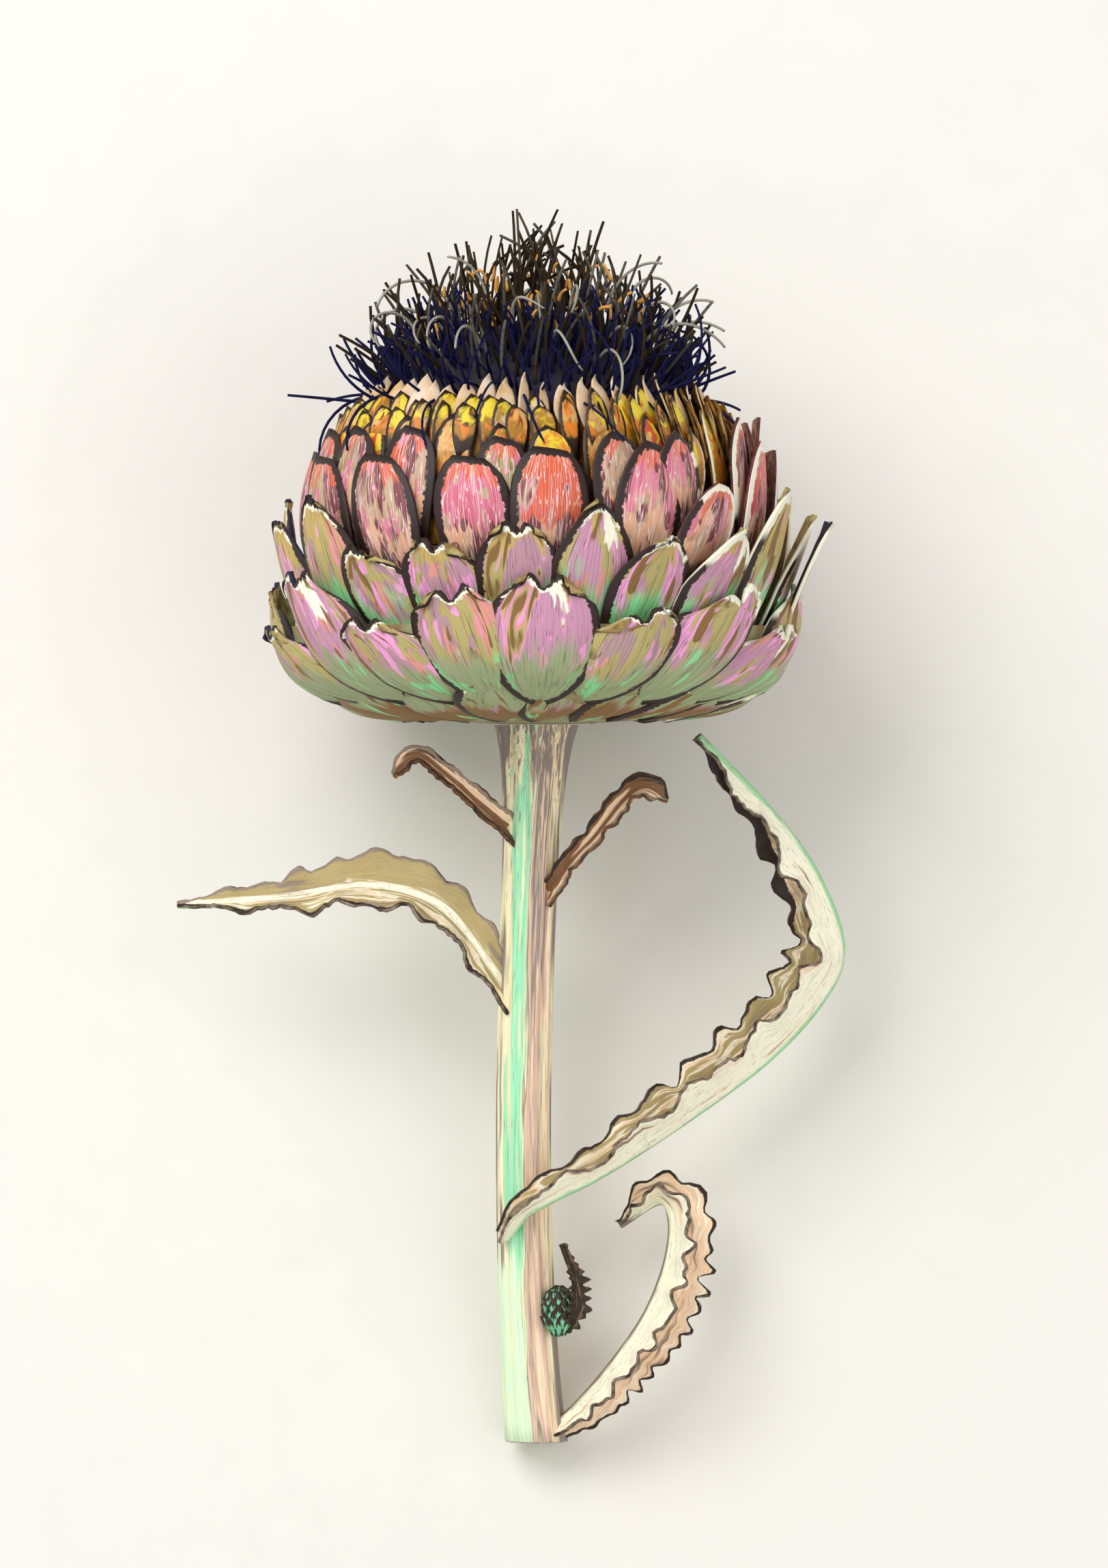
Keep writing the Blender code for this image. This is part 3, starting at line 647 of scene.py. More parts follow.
def lying_place():
    """The transform that lays the upright plant down where the frame's stem lies."""
    low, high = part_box("stem")
    foot = stem_radius(0, math.pi)
    along = low.y + foot * math.sin(LIE_ANGLE)
    shift = Vector(((low.x + high.x) / 2, along, foot * math.cos(LIE_ANGLE)))
    return Matrix.Translation(shift) @ Matrix.Rotation(LIE_ANGLE - math.pi / 2, 4, "X")


PLACE = lying_place()


def new_work():
    """An empty bmesh whose points carry what the materials read."""
    work = bmesh.new()
    work.verts.layers.float_vector.new("fibre")
    work.verts.layers.float_vector.new("mark")
    work.verts.layers.deform.verify()
    return work


def set_spot(work, vert, spot):
    layers = work.verts.layers
    vert.co = spot.point
    vert[layers.float_vector["fibre"]] = spot.fibre
    vert[layers.float_vector["mark"]] = spot.mark
    vert[layers.deform.active][0] = spot.body


def add_piece(name, work, node, paints):
    """Lays a bmesh of the upright plant down, as a piece that stands for a node."""
    bmesh.ops.transform(work, matrix=PLACE, verts=work.verts)
    for vert in work.verts:
        vert.co.z = max(vert.co.z, 0)
    mesh = bpy.data.meshes.new(name)
    work.to_mesh(mesh)
    work.free()
    for paint in paints:
        mesh.materials.append(paint)
    mesh.shade_smooth()
    piece = bpy.data.objects.new(name, mesh)
    piece.vertex_groups.new(name="body")
    bpy.context.scene.collection.objects.link(piece)
    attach(piece, BODY)
    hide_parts(node)
    return piece


def thicken(piece, thickness):
    """Gives a sheet its thickness: its back and its rim take the next two materials."""
    wall = piece.modifiers.new("thickness", "SOLIDIFY")
    wall.thickness = thickness
    wall.offset = -1
    wall.vertex_group = "body"
    wall.material_offset = 1
    wall.material_offset_rim = 2


def add_sheet(work, columns, lengths, spot_at):
    """Adds a grid, each point of it set by its side (-1 to 1) and share of the length."""
    grid = bmesh.ops.create_grid(work, x_segments=columns, y_segments=lengths, size=1)
    for vert in grid["verts"]:
        set_spot(work, vert, spot_at(vert.co.x, (vert.co.y + 1) / 2))


def outline_samples():
    """Run, radius and height of points along the head's outline, from the stem up."""
    knots = []
    for arc in OUTLINE_ARCS:
        start, first, second, end = (Vector((r, z, 0)) * MM for r, z in arc)
        knots += interpolate_bezier(start, first, second, end, CURVE_STEPS)[bool(knots) :]
    samples, run = [], 0.0
    for before, here in zip([knots[0], *knots], knots):
        run += (here - before).length
        samples.append((run, here.x, here.y))
    return samples


OUTLINE = outline_samples()


def on_outline(run):
    """Radius, height and outward direction of the head's outline, at a run along it."""
    for low, high in zip(OUTLINE, OUTLINE[1:]):
        if run <= high[0]:
            break
    part = (run - low[0]) / (high[0] - low[0])
    step = Vector((high[1] - low[1], high[2] - low[2]))
    outward = Vector((step.y, -step.x)).normalized()
    return low[1] + step.x * part, low[2] + step.y * part, outward


class Bract:
    """One bract of a ring, with the draws that make it differ from its neighbours."""

    def __init__(self, row, index, relief=0.0, fray=0.0):
        draw = random.Random(f"{row.name} {index}")
        self.row = row
        self.index = index
        if row.shapes:
            here = index + len(row.shapes) // 2
            self.shape = row.shapes[(here if 2 * index <= row.count else here - row.count) % len(row.shapes)]
        else:
            turn = draw.uniform(-TURN_DRAW, TURN_DRAW) * 360 / row.count
            self.shape = Shape(turn, draw.uniform(-row.tip_draw, row.tip_draw))
        self.turn = math.radians(row.phase + 360 / row.count * index + self.shape.turn)
        self.flare = row.flare * draw.uniform(*FLARE_DRAW)
        self.flare += row.right * max(0.0, math.sin(self.turn)) ** 4
        self.widest = row.width * draw.uniform(1 - row.width_draw, 1 + row.width_draw) * MM
        self.tint = self.shape.tint if row.shapes else draw.random()
        self.relief = relief
        self.fray = fray

    def width(self, along):
        """Width from the root (0) to the tip (1), as a share of the widest."""
        row = self.row
        if along < row.widest:
            return row.root_share + (1 - row.root_share) * math.sin(math.pi / 2 * along / row.widest)
        fall = (along - row.widest) / (1 - row.widest)
        tip_share = row.tip_share * (1 - POINT_NARROWS * self.shape.point)
        blunt, pointed = TIP_CURVE
        curve = blunt + (pointed - blunt) * self.shape.point
        return tip_share + (1 - tip_share) * (1 - fall**curve) ** TIP_ROUND

    def drawn_back(self, along, side):
        """How far the tip's edge is drawn back by its shape and its torn fringe."""
        near_tip = max(0.0, (along - NOTCH_FROM) / (1 - NOTCH_FROM))
        cuts = (abs(self.shape.slant) - self.shape.slant * side) / 2
        if not self.shape.point:
            cuts += self.row.notch * (0.5 + 0.5 * math.cos(math.tau * side))
        tears = self.fray * noise.noise(Vector((side * self.row.width * TEAR_RATE, self.index * 3.7, 0.5)))
        return near_tip * cuts * MM + near_tip**2 * tears

    def lap(self, side):
        """How far the overlap sinks the bract, from its left edge to its right."""
        if not self.row.from_front:
            return LAP * side
        if self.index == 0:
            return -LAP * abs(side)
        return LAP * side * (-1 if self.index <= self.row.count // 2 else 1)

    def spot(self, even_side, along):
        row = self.row
        side = 0.6 * even_side + 0.4 * math.sin(math.pi / 2 * even_side)
        back = (1 - along) * row.length
        half = self.width(along) * self.widest / 2
        reach = side * half
        run = (row.tip - back + self.shape.tip * along) * MM - self.drawn_back(along, side)
        radius, height, outward = on_outline(run)
        sunk = (row.lean * back + row.bow * back**2 - self.flare * along**4) * MM
        ribs = self.relief * (0.5 + 0.5 * math.cos(row.ribs * math.tau * side / 2)) * (1 - side**2)
        depth = sunk + reach**2 / (2 * CROWN_RADIUS) + self.lap(side) + ribs
        fanned = row.fan * math.sin(self.turn) * (1 - along)
        angle = self.turn + reach / (radius - sunk * outward.x) - fanned
        out = radius - depth * outward.x
        rise = STEM_LENGTH + height - depth * outward.y
        point = Vector((out * math.sin(angle), -out * math.cos(angle), rise))
        rim = min((1 - abs(side)) * half / MM, back + 0.3)
        fibre = (side * row.width / 2, back, self.index * 5.3)
        return Spot(point, fibre, (rim, along, self.tint), 1 - (1 - EDGE_SHARE) * abs(side))


def add_ring(row, node, paints, relief=0.0, fray=0.0):
    """A ring of bracts as one piece."""
    work = new_work()
    for index in range(row.count):
        add_sheet(work, row.columns, row.lengths, Bract(row, index, relief, fray).spot)
    piece = add_piece(f"{row.name}_bracts", work, node, paints)
    thicken(piece, row.thick * MM)
    return piece


def add_turned(name, profile, sides, middle, node, paint):
    """A profile turned round the upright axis through its middle, closed at both ends."""
    work = new_work()
    outline = [work.verts.new((r * MM, 0, z * MM)) for r, z in profile]
    edges = [work.edges.new(pair) for pair in zip(outline, outline[1:])]
    bmesh.ops.spin(
        work, geom=outline + edges, axis=UP, cent=(0, 0, 0), angle=math.tau, steps=sides, use_merge=True
    )
    bmesh.ops.remove_doubles(work, verts=work.verts, dist=0.001 * MM)
    open_ends = [edge for edge in work.edges if edge.is_boundary]
    if open_ends:
        bmesh.ops.holes_fill(work, edges=open_ends, sides=sides)
    bmesh.ops.recalc_face_normals(work, faces=work.faces)
    bmesh.ops.translate(work, verts=work.verts, vec=middle)
    add_piece(name, work, node, [paint])


def add_core(name, profile, node, paint):
    """A core inside the head, with a pole in the middle of each end."""
    poled = [(0, profile[0][1]), *profile, (0, profile[-1][1])]
    add_turned(name, poled, CORE_STEPS, UP * STEM_LENGTH, node, paint)


def edged(paint, body, rim, width, look, along, highlight_from):
    """Adds a margin to a bract's colours: a painted highlight at the right of the head, from a share of the
    bract's length on, and a dark dried margin elsewhere."""
    across = paint.split(paint.position())[0]
    wander = paint.plus(across, paint.clouds(paint.position(), 160), 0.024)
    upper = paint.smooth(along, highlight_from, highlight_from + 0.08)
    # Painted highlight: far to the head's right and towards the tip, the margin turns pale.
    bleached = paint.times(paint.smooth(wander, HIGHLIGHT_SIDE, HIGHLIGHT_SIDE + 2 * MM), upper)
    margin = paint.mix(bleached, look.margin, look.fringe)
    speckle = paint.clouds(paint.attribute("fibre"), 0.8, detail=3)
    edge = paint.plus(rim, speckle, width)
    return paint.layer(body, margin, edge, 1.5 * width, 1.5 * width - 0.3)


def outer_paint(name, look, root, root_end, top, top_start):
    """A bract's outer face: the colours of its root and of its top, brushed streaks, veins, a torn pale tip
    and dried margins, which carry a painted highlight at the head's right. A pointed bract also has a
    painted highlight beside its tip."""
    paint = Paint(name)
    fibre = paint.attribute("fibre")
    rim, along, tint = paint.split(paint.attribute("mark"))
    strokes = [paint.clouds(fibre, (0.24, 0.06, z), distortion=0.6) for z in range(1, 7)]
    level = paint.plus(along, strokes[0], 0.8)
    body = paint.layers(
        paint.mix(tint, look.mauve, look.dusk),
        (look.pink, strokes[1], 0.53, 0.56),
        (look.salmon, strokes[2], 0.56, 0.59),
        (look.khaki, paint.plus(strokes[3], tint, 0.1), 0.59, 0.62),
        (top, level, top_start + 0.4, top_start + 0.44),
        (look.brown, strokes[4], 0.60, 0.63),
        (paint.layer(root, look.mint, strokes[5], 0.60, 0.63), level, root_end + 0.5, root_end + 0.3),
    )
    veins = paint.clouds(fibre, (1.9, 0.035, 1), detail=1)
    body = paint.lines(body, look.line, veins, 0.022, 0.7)
    speckle = paint.clouds(fibre, 0.8, detail=3)
    # Painted highlight: a pale patch beside a pointed bract's tip.
    tip_highlight = paint.band(paint.plus(paint.split(fibre)[0], speckle, 2), 2.6, 3.0, 7.0, 7.6)
    pointed = paint.smooth(tint, POINTED_TINT + 0.02, POINTED_TINT)
    near_tip = paint.smooth(paint.plus(along, speckle, 0.1), 0.88, 0.94)
    body = paint.layers(
        body,
        (look.fringe, level, 1.17, 1.21, paint.times(tip_highlight, pointed)),
        (look.fringe, paint.plus(rim, speckle, 3), 4.0, 3.4, near_tip),
    )
    body = edged(paint, body, paint.plus(rim, near_tip, 0.9), 2.4, look, along, 0.74)
    return paint.finish(body, 0.62, veins, 0.0002)


def rim_paint(name, look):
    """The rims of a ring: a painted highlight at the head's right, navy at its left, dark between."""
    paint = Paint(name)
    across = paint.split(paint.position())[0]
    grain = paint.clouds(paint.position(), 300, detail=3)
    wander = paint.plus(across, grain, 0.02)
    # Painted highlight: rims far to the head's right turn pale.
    bleached, dark = (look.fringe, wander, 0.046, 0.05), (look.navy, wander, -0.034, -0.038)
    body = paint.layers(look.margin, bleached, dark)
    return paint.finish(body, 0.75, grain, 0.0003)


def plain_paint(name, first, second, scale=400):
    """Two colours in fine clouds, for backs, rims and cores."""
    paint = Paint(name)
    spots = paint.clouds(paint.position(), scale, detail=4)
    body = paint.ramp(spots, [(0.35, first), (0.65, second)])
    return paint.finish(body, 0.75, spots, 0.0003)


def rosy_paint(name, look):
    """A rosy bract: its own colour read from its tint, streaks, a warm top, a dark root that is painted
    shade between the rings, a fine pale hatch and a dried margin with a painted highlight at the head's
    right."""
    paint = Paint(name)
    fibre = paint.attribute("fibre")
    rim, along, tint = paint.split(paint.attribute("mark"))
    strokes = [paint.clouds(fibre, (0.26, 0.08, z), distortion=0.5) for z in range(1, 6)]
    own = paint.ramp(
        paint.plus(tint, paint.maths("SUBTRACT", strokes[0], 0.5), 0.5),
        [
            (0.05, look.coral), (0.25, look.rose), (0.45, look.pink), (0.6, look.peach),
            (0.72, look.plum), (0.84, look.buff), (0.95, look.olive),
        ],
    )
    level = paint.plus(along, strokes[4], 0.6)
    body = paint.layers(
        own,
        (look.pink, strokes[1], 0.54, 0.57),
        (look.buff, strokes[2], 0.56, 0.59),
        (look.plum, strokes[3], 0.59, 0.62),
        (look.coral, level, 1.16, 1.20, 0.8),
        (paint.layer(look.plum, look.peach, strokes[2], 0.45, 0.48), level, 0.86, 0.80),
        # Painted shade: the bract turns near-black towards its root.
        (look.margin, level, 0.72, 0.56),
    )
    for scale in ((0.9, 0.05, 1), (1.5, 0.08, 3)):
        body = paint.lines(body, look.hatch, paint.clouds(fibre, scale, detail=1), 0.018, 0.8)
    body = edged(paint, body, rim, 2.3, look, along, 0.3)
    return paint.finish(body, 0.55, strokes[0], 0.0002)


def inner_paint(name, look, colours, width=0.8):
    """A narrow bract: its own colour drawn from several, blots of the others, a dark root that is painted
    shade between the rings, and a dark margin of a width with a painted highlight at the head's right."""
    paint = Paint(name)
    fibre = paint.attribute("fibre")
    rim, along, tint = paint.split(paint.attribute("mark"))
    blots = [paint.clouds(fibre, (0.34, 0.2, z), distortion=0.8) for z in range(1, 5)]
    stops = [((place + 0.5) / len(colours), shade) for place, shade in enumerate(colours)]
    level = paint.plus(along, blots[3], 0.6)
    body = paint.layers(
        paint.ramp(paint.plus(tint, paint.maths("SUBTRACT", blots[0], 0.5), 1.2), stops),
        (look.yellow, blots[1], 0.56, 0.58),
        (look.buff, blots[2], 0.60, 0.62),
        (paint.layer(look.ochre, look.orange, blots[2], 0.50, 0.53), level, 0.96, 0.84),
        # Painted shade: the bract turns near-black towards its root.
        (look.margin, level, 0.70, 0.58),
    )
    body = edged(paint, body, rim, width, look, along, 0.3)
    return paint.finish(body, 0.5, blots[0], 0.0002)


def raise_rings(work, sides, steps):
    """Starts a closed tube from a unit circle and extrudes it in steps. Returns the face
    at its foot, and its rings of points from the foot up, all still at the foot."""
    rings = [bmesh.ops.create_circle(work, cap_ends=True, segments=sides, radius=1)["verts"]]
    foot = work.faces[:][0]
    edges = list(foot.edges)
    for _ in range(steps):
        made = bmesh.ops.extrude_edge_only(work, edges=edges)["geom"]
        rings.append([each for each in made if isinstance(each, bmesh.types.BMVert)])
        edges = [each for each in made if isinstance(each, bmesh.types.BMEdge)]
    bmesh.ops.contextual_create(work, geom=edges)
    return foot, rings


def thread_form(sides, steps):
    """A straight unit thread: a tube of a few sides from z = 0 to a blunt end at z = 1."""
    work = bmesh.new()
    for step, ring in enumerate(raise_rings(work, sides, steps)[1]):
        bmesh.ops.translate(work, verts=ring, vec=UP * step / steps)
    bmesh.ops.recalc_face_normals(work, faces=work.faces)
    form = bpy.data.meshes.new("thread")
    work.to_mesh(form)
    work.free()
    return form


def tuft_height(radius):
    """Height of the tuft's core over the stem, at a distance from the axis."""
    crown = [(0, TUFT_CORE[-1][1]), *reversed(TUFT_CORE[1:])]
    for (near, high), (far, low) in zip(crown, crown[1:]):
        if radius / MM <= far:
            part = (radius / MM - near) / (far - near)
            return (high + (low - high) * part) * MM
    return TUFT_CORE[1][1] * MM


def thread_path(kind, index, count):
    """Points along a thread that stands on the tuft's core, leans out and curls, and the
    direction across it."""
    draw = random.Random(f"{kind.name} thread {index}")
    low, high = kind.inner**2, kind.outer**2
    share = math.sqrt(low + (high - low) * (index + draw.random()) / count)
    turn = index * GOLDEN_ANGLE
    out = Vector((math.sin(turn), -math.cos(turn), 0))
    beside = Vector((out.y, -out.x, 0))
    root = out * TUFT_RADIUS * share
    root.z = STEM_LENGTH + tuft_height(TUFT_RADIUS * share) + draw.uniform(*kind.rise) * MM
    lean = kind.lean * share**2 + draw.uniform(-kind.lean_draw, kind.lean_draw)
    curl = draw.uniform(*kind.curl)
    twist = draw.uniform(-kind.twist, kind.twist)
    run = (kind.length - kind.shorter * share + draw.uniform(-kind.length_draw, kind.length_draw)) * MM
    path = [root]
    for step in range(kind.steps):
        bend = step / (kind.steps - 1)
        angle = lean + curl * bend
        way = out * math.sin(angle) + UP * math.cos(angle) + beside * twist * bend
        path.append(path[-1] + way.normalized() * run / kind.steps)
    return path, beside


def add_threads(kind, count, radius, paint):
    """All threads of one kind as one piece."""
    form = thread_form(4, kind.steps)
    work = new_work()
    for _ in range(count):
        work.from_mesh(form)
    size = len(form.vertices)
    verts = list(work.verts)
    for index in range(count):
        path, beside = thread_path(kind, index, count)
        tint = random.Random(f"{kind.name} tint {index}").random()
        for vert in verts[index * size : (index + 1) * size]:
            rise = vert.co.z
            step = round(rise * kind.steps)
            ahead = path[min(step + 1, kind.steps)] - path[max(step - 1, 0)]
            across = ahead.cross(beside).normalized()
            around = (beside * vert.co.x + across * vert.co.y) * radius * kind.thicker * (1 - 0.3 * rise)
            set_spot(work, vert, Spot(path[step] + around, (0, 0, 0), (0, 0, tint)))
    bpy.data.meshes.remove(form)
    return add_piece(f"{kind.name}_threads", work, "florets", [paint])


def thread_paint(name, shade, light):
    """A thread's colour, paler on a few."""
    paint = Paint(name)
    tint = paint.split(paint.attribute("mark"))[2]
    body = paint.mix(paint.times(paint.maths("POWER", tint, 4), 0.35), shade, light)
    grain = paint.clouds(paint.position(), 900)
    body = paint.layer(body, shade, grain, 0.5, 0.8)
    paint.shader.inputs["Specular IOR Level"].default_value = 0.15
    return paint.finish(body, 0.8, grain, 0.0001)


def midrib_line(leaf):
    """Evenly spaced points along the smooth curve through a leaf's midrib points."""
    knots = [Vector(point) * MM for point in leaf.midrib]
    before = [knots[0] * 2 - knots[1], *knots[:-1]]
    after = [*knots[1:], knots[-1] * 2 - knots[-2]]
    line = []
    for i, (start, end) in enumerate(zip(knots, knots[1:])):
        leave = start + (after[i] - before[i]) / 6
        arrive = end - (after[i + 1] - before[i + 1]) / 6
        line += interpolate_bezier(start, leave, arrive, end, CURVE_STEPS)[bool(line) :]
    runs = [0.0]
    for here, ahead in zip(line, line[1:]):
        runs.append(runs[-1] + (ahead - here).length)
    spaced, place = [], 0
    for step in range(leaf.steps + 1):
        wanted = runs[-1] * step / leaf.steps
        while place < len(runs) - 2 and runs[place + 1] < wanted:
            place += 1
        part = (wanted - runs[place]) / (runs[place + 1] - runs[place])
        spaced.append(line[place].lerp(line[place + 1], part))
    return spaced, runs[-1]


def eased(pairs, share):
    """A value read off pairs of a share and a value, easing from each to the next."""
    for (low, first), (high, second) in zip(pairs, pairs[1:]):
        if share <= high:
            part = (share - low) / (high - low)
            return first + (second - first) * part * part * (3 - 2 * part)
    return pairs[-1][1]


def leaf_spots(leaf, ripple):
    """The function that places a leaf's points: its two halves fold up from the midrib,
    and their edges wave."""
    line, run = midrib_line(leaf)
    span = leaf.steps // 16  # how far apart the two points are that a direction is read from

    def spot(side, share):
        step = round(share * leaf.steps)
        ahead = (line[min(step + span, leaf.steps)] - line[max(step - span, 0)]).normalized()
        turn = math.radians(leaf.trough[0] + (leaf.trough[1] - leaf.trough[0]) * share)
        trough = FRONT.cross(ahead) * math.cos(turn) + FRONT * math.sin(turn)
        trough = (trough - ahead * trough.dot(ahead)).normalized()
        beside = ahead.cross(trough)
        spread = math.radians(leaf.spread)
        half = eased(leaf.widths, share) * MM
        growth = math.sin(math.pi / 2 * min(share / BASE_RUN, 1))
        hand = 1 if side > 0 else -1
        edge = side**2 * growth
        wander = Vector((share * run / MM * WANDER_RATE, hand * 7, leaf.waves))
        cycle = math.tau * leaf.waves * share + hand
        lobe = leaf.lobes * (0.9 + 1.6 * noise.noise(wander)) * math.sin(LOBE_RATE * cycle)
        reach = half * abs(side) * (1 + edge * lobe)
        lift = leaf.wave * MM * edge * math.sin(cycle) * min(1, half / FULL_WAVE_WIDTH)
        crinkle = Vector((share * run / MM * CRINKLE_RATE, hand * 4, leaf.waves))
        reach += 2 * ripple * edge * noise.noise(crinkle)
        lift += 3 * ripple * edge * noise.noise(crinkle * 1.3 + UP)
        way = trough * math.cos(spread) + beside * hand * math.sin(spread)
        face = trough * math.sin(spread) - beside * hand * math.cos(spread)
        point = line[step] + way * reach + face * lift
        body = 1 / RIB_DEPTH + (1 - 1 / RIB_DEPTH) * math.exp(-((side * 5) ** 2))
        rim = (1 - abs(side)) * half / MM
        return Spot(point, (side * half / MM, share * run / MM, leaf.waves), (rim, share, side), body)

    return spot


def add_leaf(leaf, node, paints, ripple):
    work = new_work()
    add_sheet(work, LEAF_COLUMNS, leaf.steps, leaf_spots(leaf, ripple))
    piece = add_piece(f"{leaf.name}_blade", work, node, paints)
    thicken(piece, leaf.thick * RIB_DEPTH * MM)
    return piece


def leaf_face_paint(name, look, body_stops, rib, margin_width, hand=-1, widening=0.0, other=0.0):
    """A leaf's face: lengthwise streaks, the midrib's colour and a dried margin, dark at the side that hand
    names and grey-brown at the other. widening broadens the margin towards the tip as painted shade inside
    the fold, and other says how far the last colour fills the other side."""
    paint = Paint(name)
    fibre = paint.attribute("fibre")
    rim, share, side = paint.split(paint.attribute("mark"))
    across = paint.maths("ABSOLUTE", paint.split(fibre)[0])
    streaks = paint.clouds(fibre, (0.55, 0.05, 1), detail=3, distortion=0.4)
    body = paint.ramp(streaks, body_stops)
    filled = paint.plus(streaks, side, -hand * other)
    body = paint.layer(body, body_stops[-1][1], filled, 0.56, 0.60)
    body = paint.layer(body, rib, paint.plus(across, streaks, 3.0), 2.7, 2.0)
    veins = paint.clouds(fibre, (1.2, 0.09, 1))
    body = paint.lines(body, look.taupe, veins, 0.02, 0.45)
    edge = paint.maths("ADD", rim, paint.clouds(fibre, 0.7, detail=3))
    # Painted shade: towards the tip the dark margin widens, standing for the shade inside the fold.
    edge = paint.plus(edge, paint.smooth(share, 0.66, 0.78), -widening)
    margin = paint.layer(look.edge, look.taupe, side, 0.1 * hand, -0.1 * hand)
    body = paint.layer(body, margin, edge, margin_width + 0.7, margin_width + 0.4)
    return paint.finish(body, 0.65, streaks, 0.0003)


def leaf_paints(look, inner, fold, **options):
    """The inner face, the outer face and the rim of a green leaf. inner is the inner
    face's main colour, and fold the outer face's along its midrib."""
    inside = [
        (0.34, look.taupe), (0.42, inner), (0.50, inner), (0.54, look.cream),
        (0.60, look.peach), (0.66, inner),
    ]
    outside = [
        (0.30, look.taupe), (0.34, look.peach), (0.40, look.cream), (0.56, look.cream),
        (0.59, look.mint), (0.63, look.cream),
    ]
    return [
        leaf_face_paint("leaf inside", look, inside, look.cream, 0.7, **options),
        leaf_face_paint("leaf outside", look, outside, fold, 0.2),
        plain_paint("leaf rim", look.edge, look.taupe),
    ]


def dry_leaf_paints(look):
    """The inner face, the outer face and the rim of a dried leaf."""
    brown = [(0.34, look.edge), (0.42, look.dry), (0.54, look.dry), (0.60, look.peach)]
    return [
        leaf_face_paint("dry leaf inside", look, brown, look.dry, 0.8, other=0.3),
        leaf_face_paint("dry leaf outside", look, brown, look.peach, 0.5),
        plain_paint("dry leaf rim", look.edge, look.dry),
    ]


def stem_paint(look):
    """Stripes along the stem: light and green at its left, warm at its right, grey-brown
    towards its neck, and pale at its foot's left."""
    paint = Paint("stem skin")
    fibre = paint.attribute("fibre")
    across, height = paint.split(fibre)[0], paint.split(fibre)[2]
    broad = paint.clouds(fibre, (0.45, 0.45, 0.022))
    fine = paint.clouds(fibre, (1.6, 1.6, 0.03))
    broken = paint.clouds(fibre, (1.1, 1.1, 0.05))
    moved = paint.plus(across, paint.maths("SUBTRACT", broad, 0.5), 14)
    body = paint.ramp(
        paint.times(paint.maths("ADD", moved, 8), 1 / 16),
        [
            (0.04, look.taupe), (0.10, look.cream), (0.24, look.cream), (0.29, look.mint),
            (0.42, look.mint), (0.47, look.cream), (0.52, look.taupe), (0.56, look.peach),
            (0.70, look.tan), (0.78, look.peach), (0.88, look.cream), (0.97, look.taupe),
        ],
    )
    body = paint.lines(body, look.taupe, fine, 0.03, 0.55)
    neck = paint.plus(broken, height, 0.004)
    dusky = paint.times(paint.band(moved, 0.4, 1.0, 3.8, 4.4), paint.smooth(neck, 0.90, 1.06))
    foot = paint.smooth(paint.plus(height, broken, 30), 62, 54)
    body = paint.layers(
        body,
        (look.taupe, neck, 1.22, 1.26),
        (look.taupe, fine, 0.40, 0.50, dusky),
        (look.frost, fine, 0.36, 0.44, paint.times(foot, paint.smooth(moved, -0.5, -1.5))),
    )
    return paint.finish(body, 0.6, fine, 0.0003)


def cut_paint(look):
    """The cut end: pale pith inside a darker ring."""
    paint = Paint("stem cut")
    fibre = paint.attribute("fibre")
    flat = paint.stretch(fibre, (1, 1, 0))
    away = paint.node("ShaderNodeVectorMath", {0: flat}, operation="LENGTH").outputs["Value"]
    cells = paint.clouds(fibre, 2.2, detail=3)
    body = paint.ramp(
        paint.times(paint.plus(away, cells, 1.5), 0.1),
        [(0.2, look.pith), (0.5, look.pith), (0.62, look.mint), (0.74, look.tan), (0.82, look.taupe)],
    )
    return paint.finish(body, 0.7, cells, 0.0004)


def bud_scale(turn, base, spread):
    """The function that places one scale of the side bud."""

    def spot(side, share):
        height = base + SCALE_LENGTH * share
        swell = eased([(h, r) for r, h in BUD_PROFILE], height) + SCALE_RISE + spread * share**2
        narrow = math.sin(math.pi * (0.18 + 0.8 * share)) ** 0.8
        angle = turn + side * SCALE_SPAN * narrow
        out = swell - SCALE_RISE * side**2
        place = Vector((out * math.sin(angle), -out * math.cos(angle), height)) * MM
        rim = (1 - abs(side)) * SCALE_HALF_WIDTH * narrow
        fibre = (side * SCALE_HALF_WIDTH, share * SCALE_LENGTH, turn)
        return Spot(BUD_CENTRE + place, fibre, (rim, share, turn % 1))

    return spot


def add_bud(settings, look):
    """The side bud: a turned body, its overlapping scales and the leaf over it."""
    slot, node = "bud_scale", "side_bud"
    body_paint = plain_paint("bud body", settings.brown, settings.green, scale=600)
    add_turned("bud_body", BUD_PROFILE, BUD_SIDES, BUD_CENTRE, node, body_paint)
    work = new_work()
    low, high = BUD_PROFILE[1][1], BUD_PROFILE[-2][1]
    for ring in range(settings.rings):
        base = low + (high - low - TOP_SCALES) * ring / (settings.rings - 1)
        for index in range(settings.scales):
            turn = math.tau * (index + 0.5 * (ring % 2)) / settings.scales
            flare = random.Random(f"scale {ring} {index}").uniform(0.2, 1.1)
            add_sheet(work, 4, 6, bud_scale(turn, base, flare))
    scales = add_piece("bud_scales", work, node, [bud_scale_paint(settings)] * 3)
    thicken(scales, 0.3 * MM)
    add_leaf(BUD_LEAF, node, [bud_leaf_paint(settings)] * 3, look.ripple)


def bud_leaf_paint(settings):
    """The bud's dark leaf, with paler streaks."""
    paint = Paint("bud leaf")
    streaks = paint.clouds(paint.attribute("fibre"), (1.2, 0.25, 1), detail=3)
    body = paint.layer(settings.brown, settings.tan, streaks, 0.52, 0.6)
    return paint.finish(body, 0.7, streaks, 0.0003)


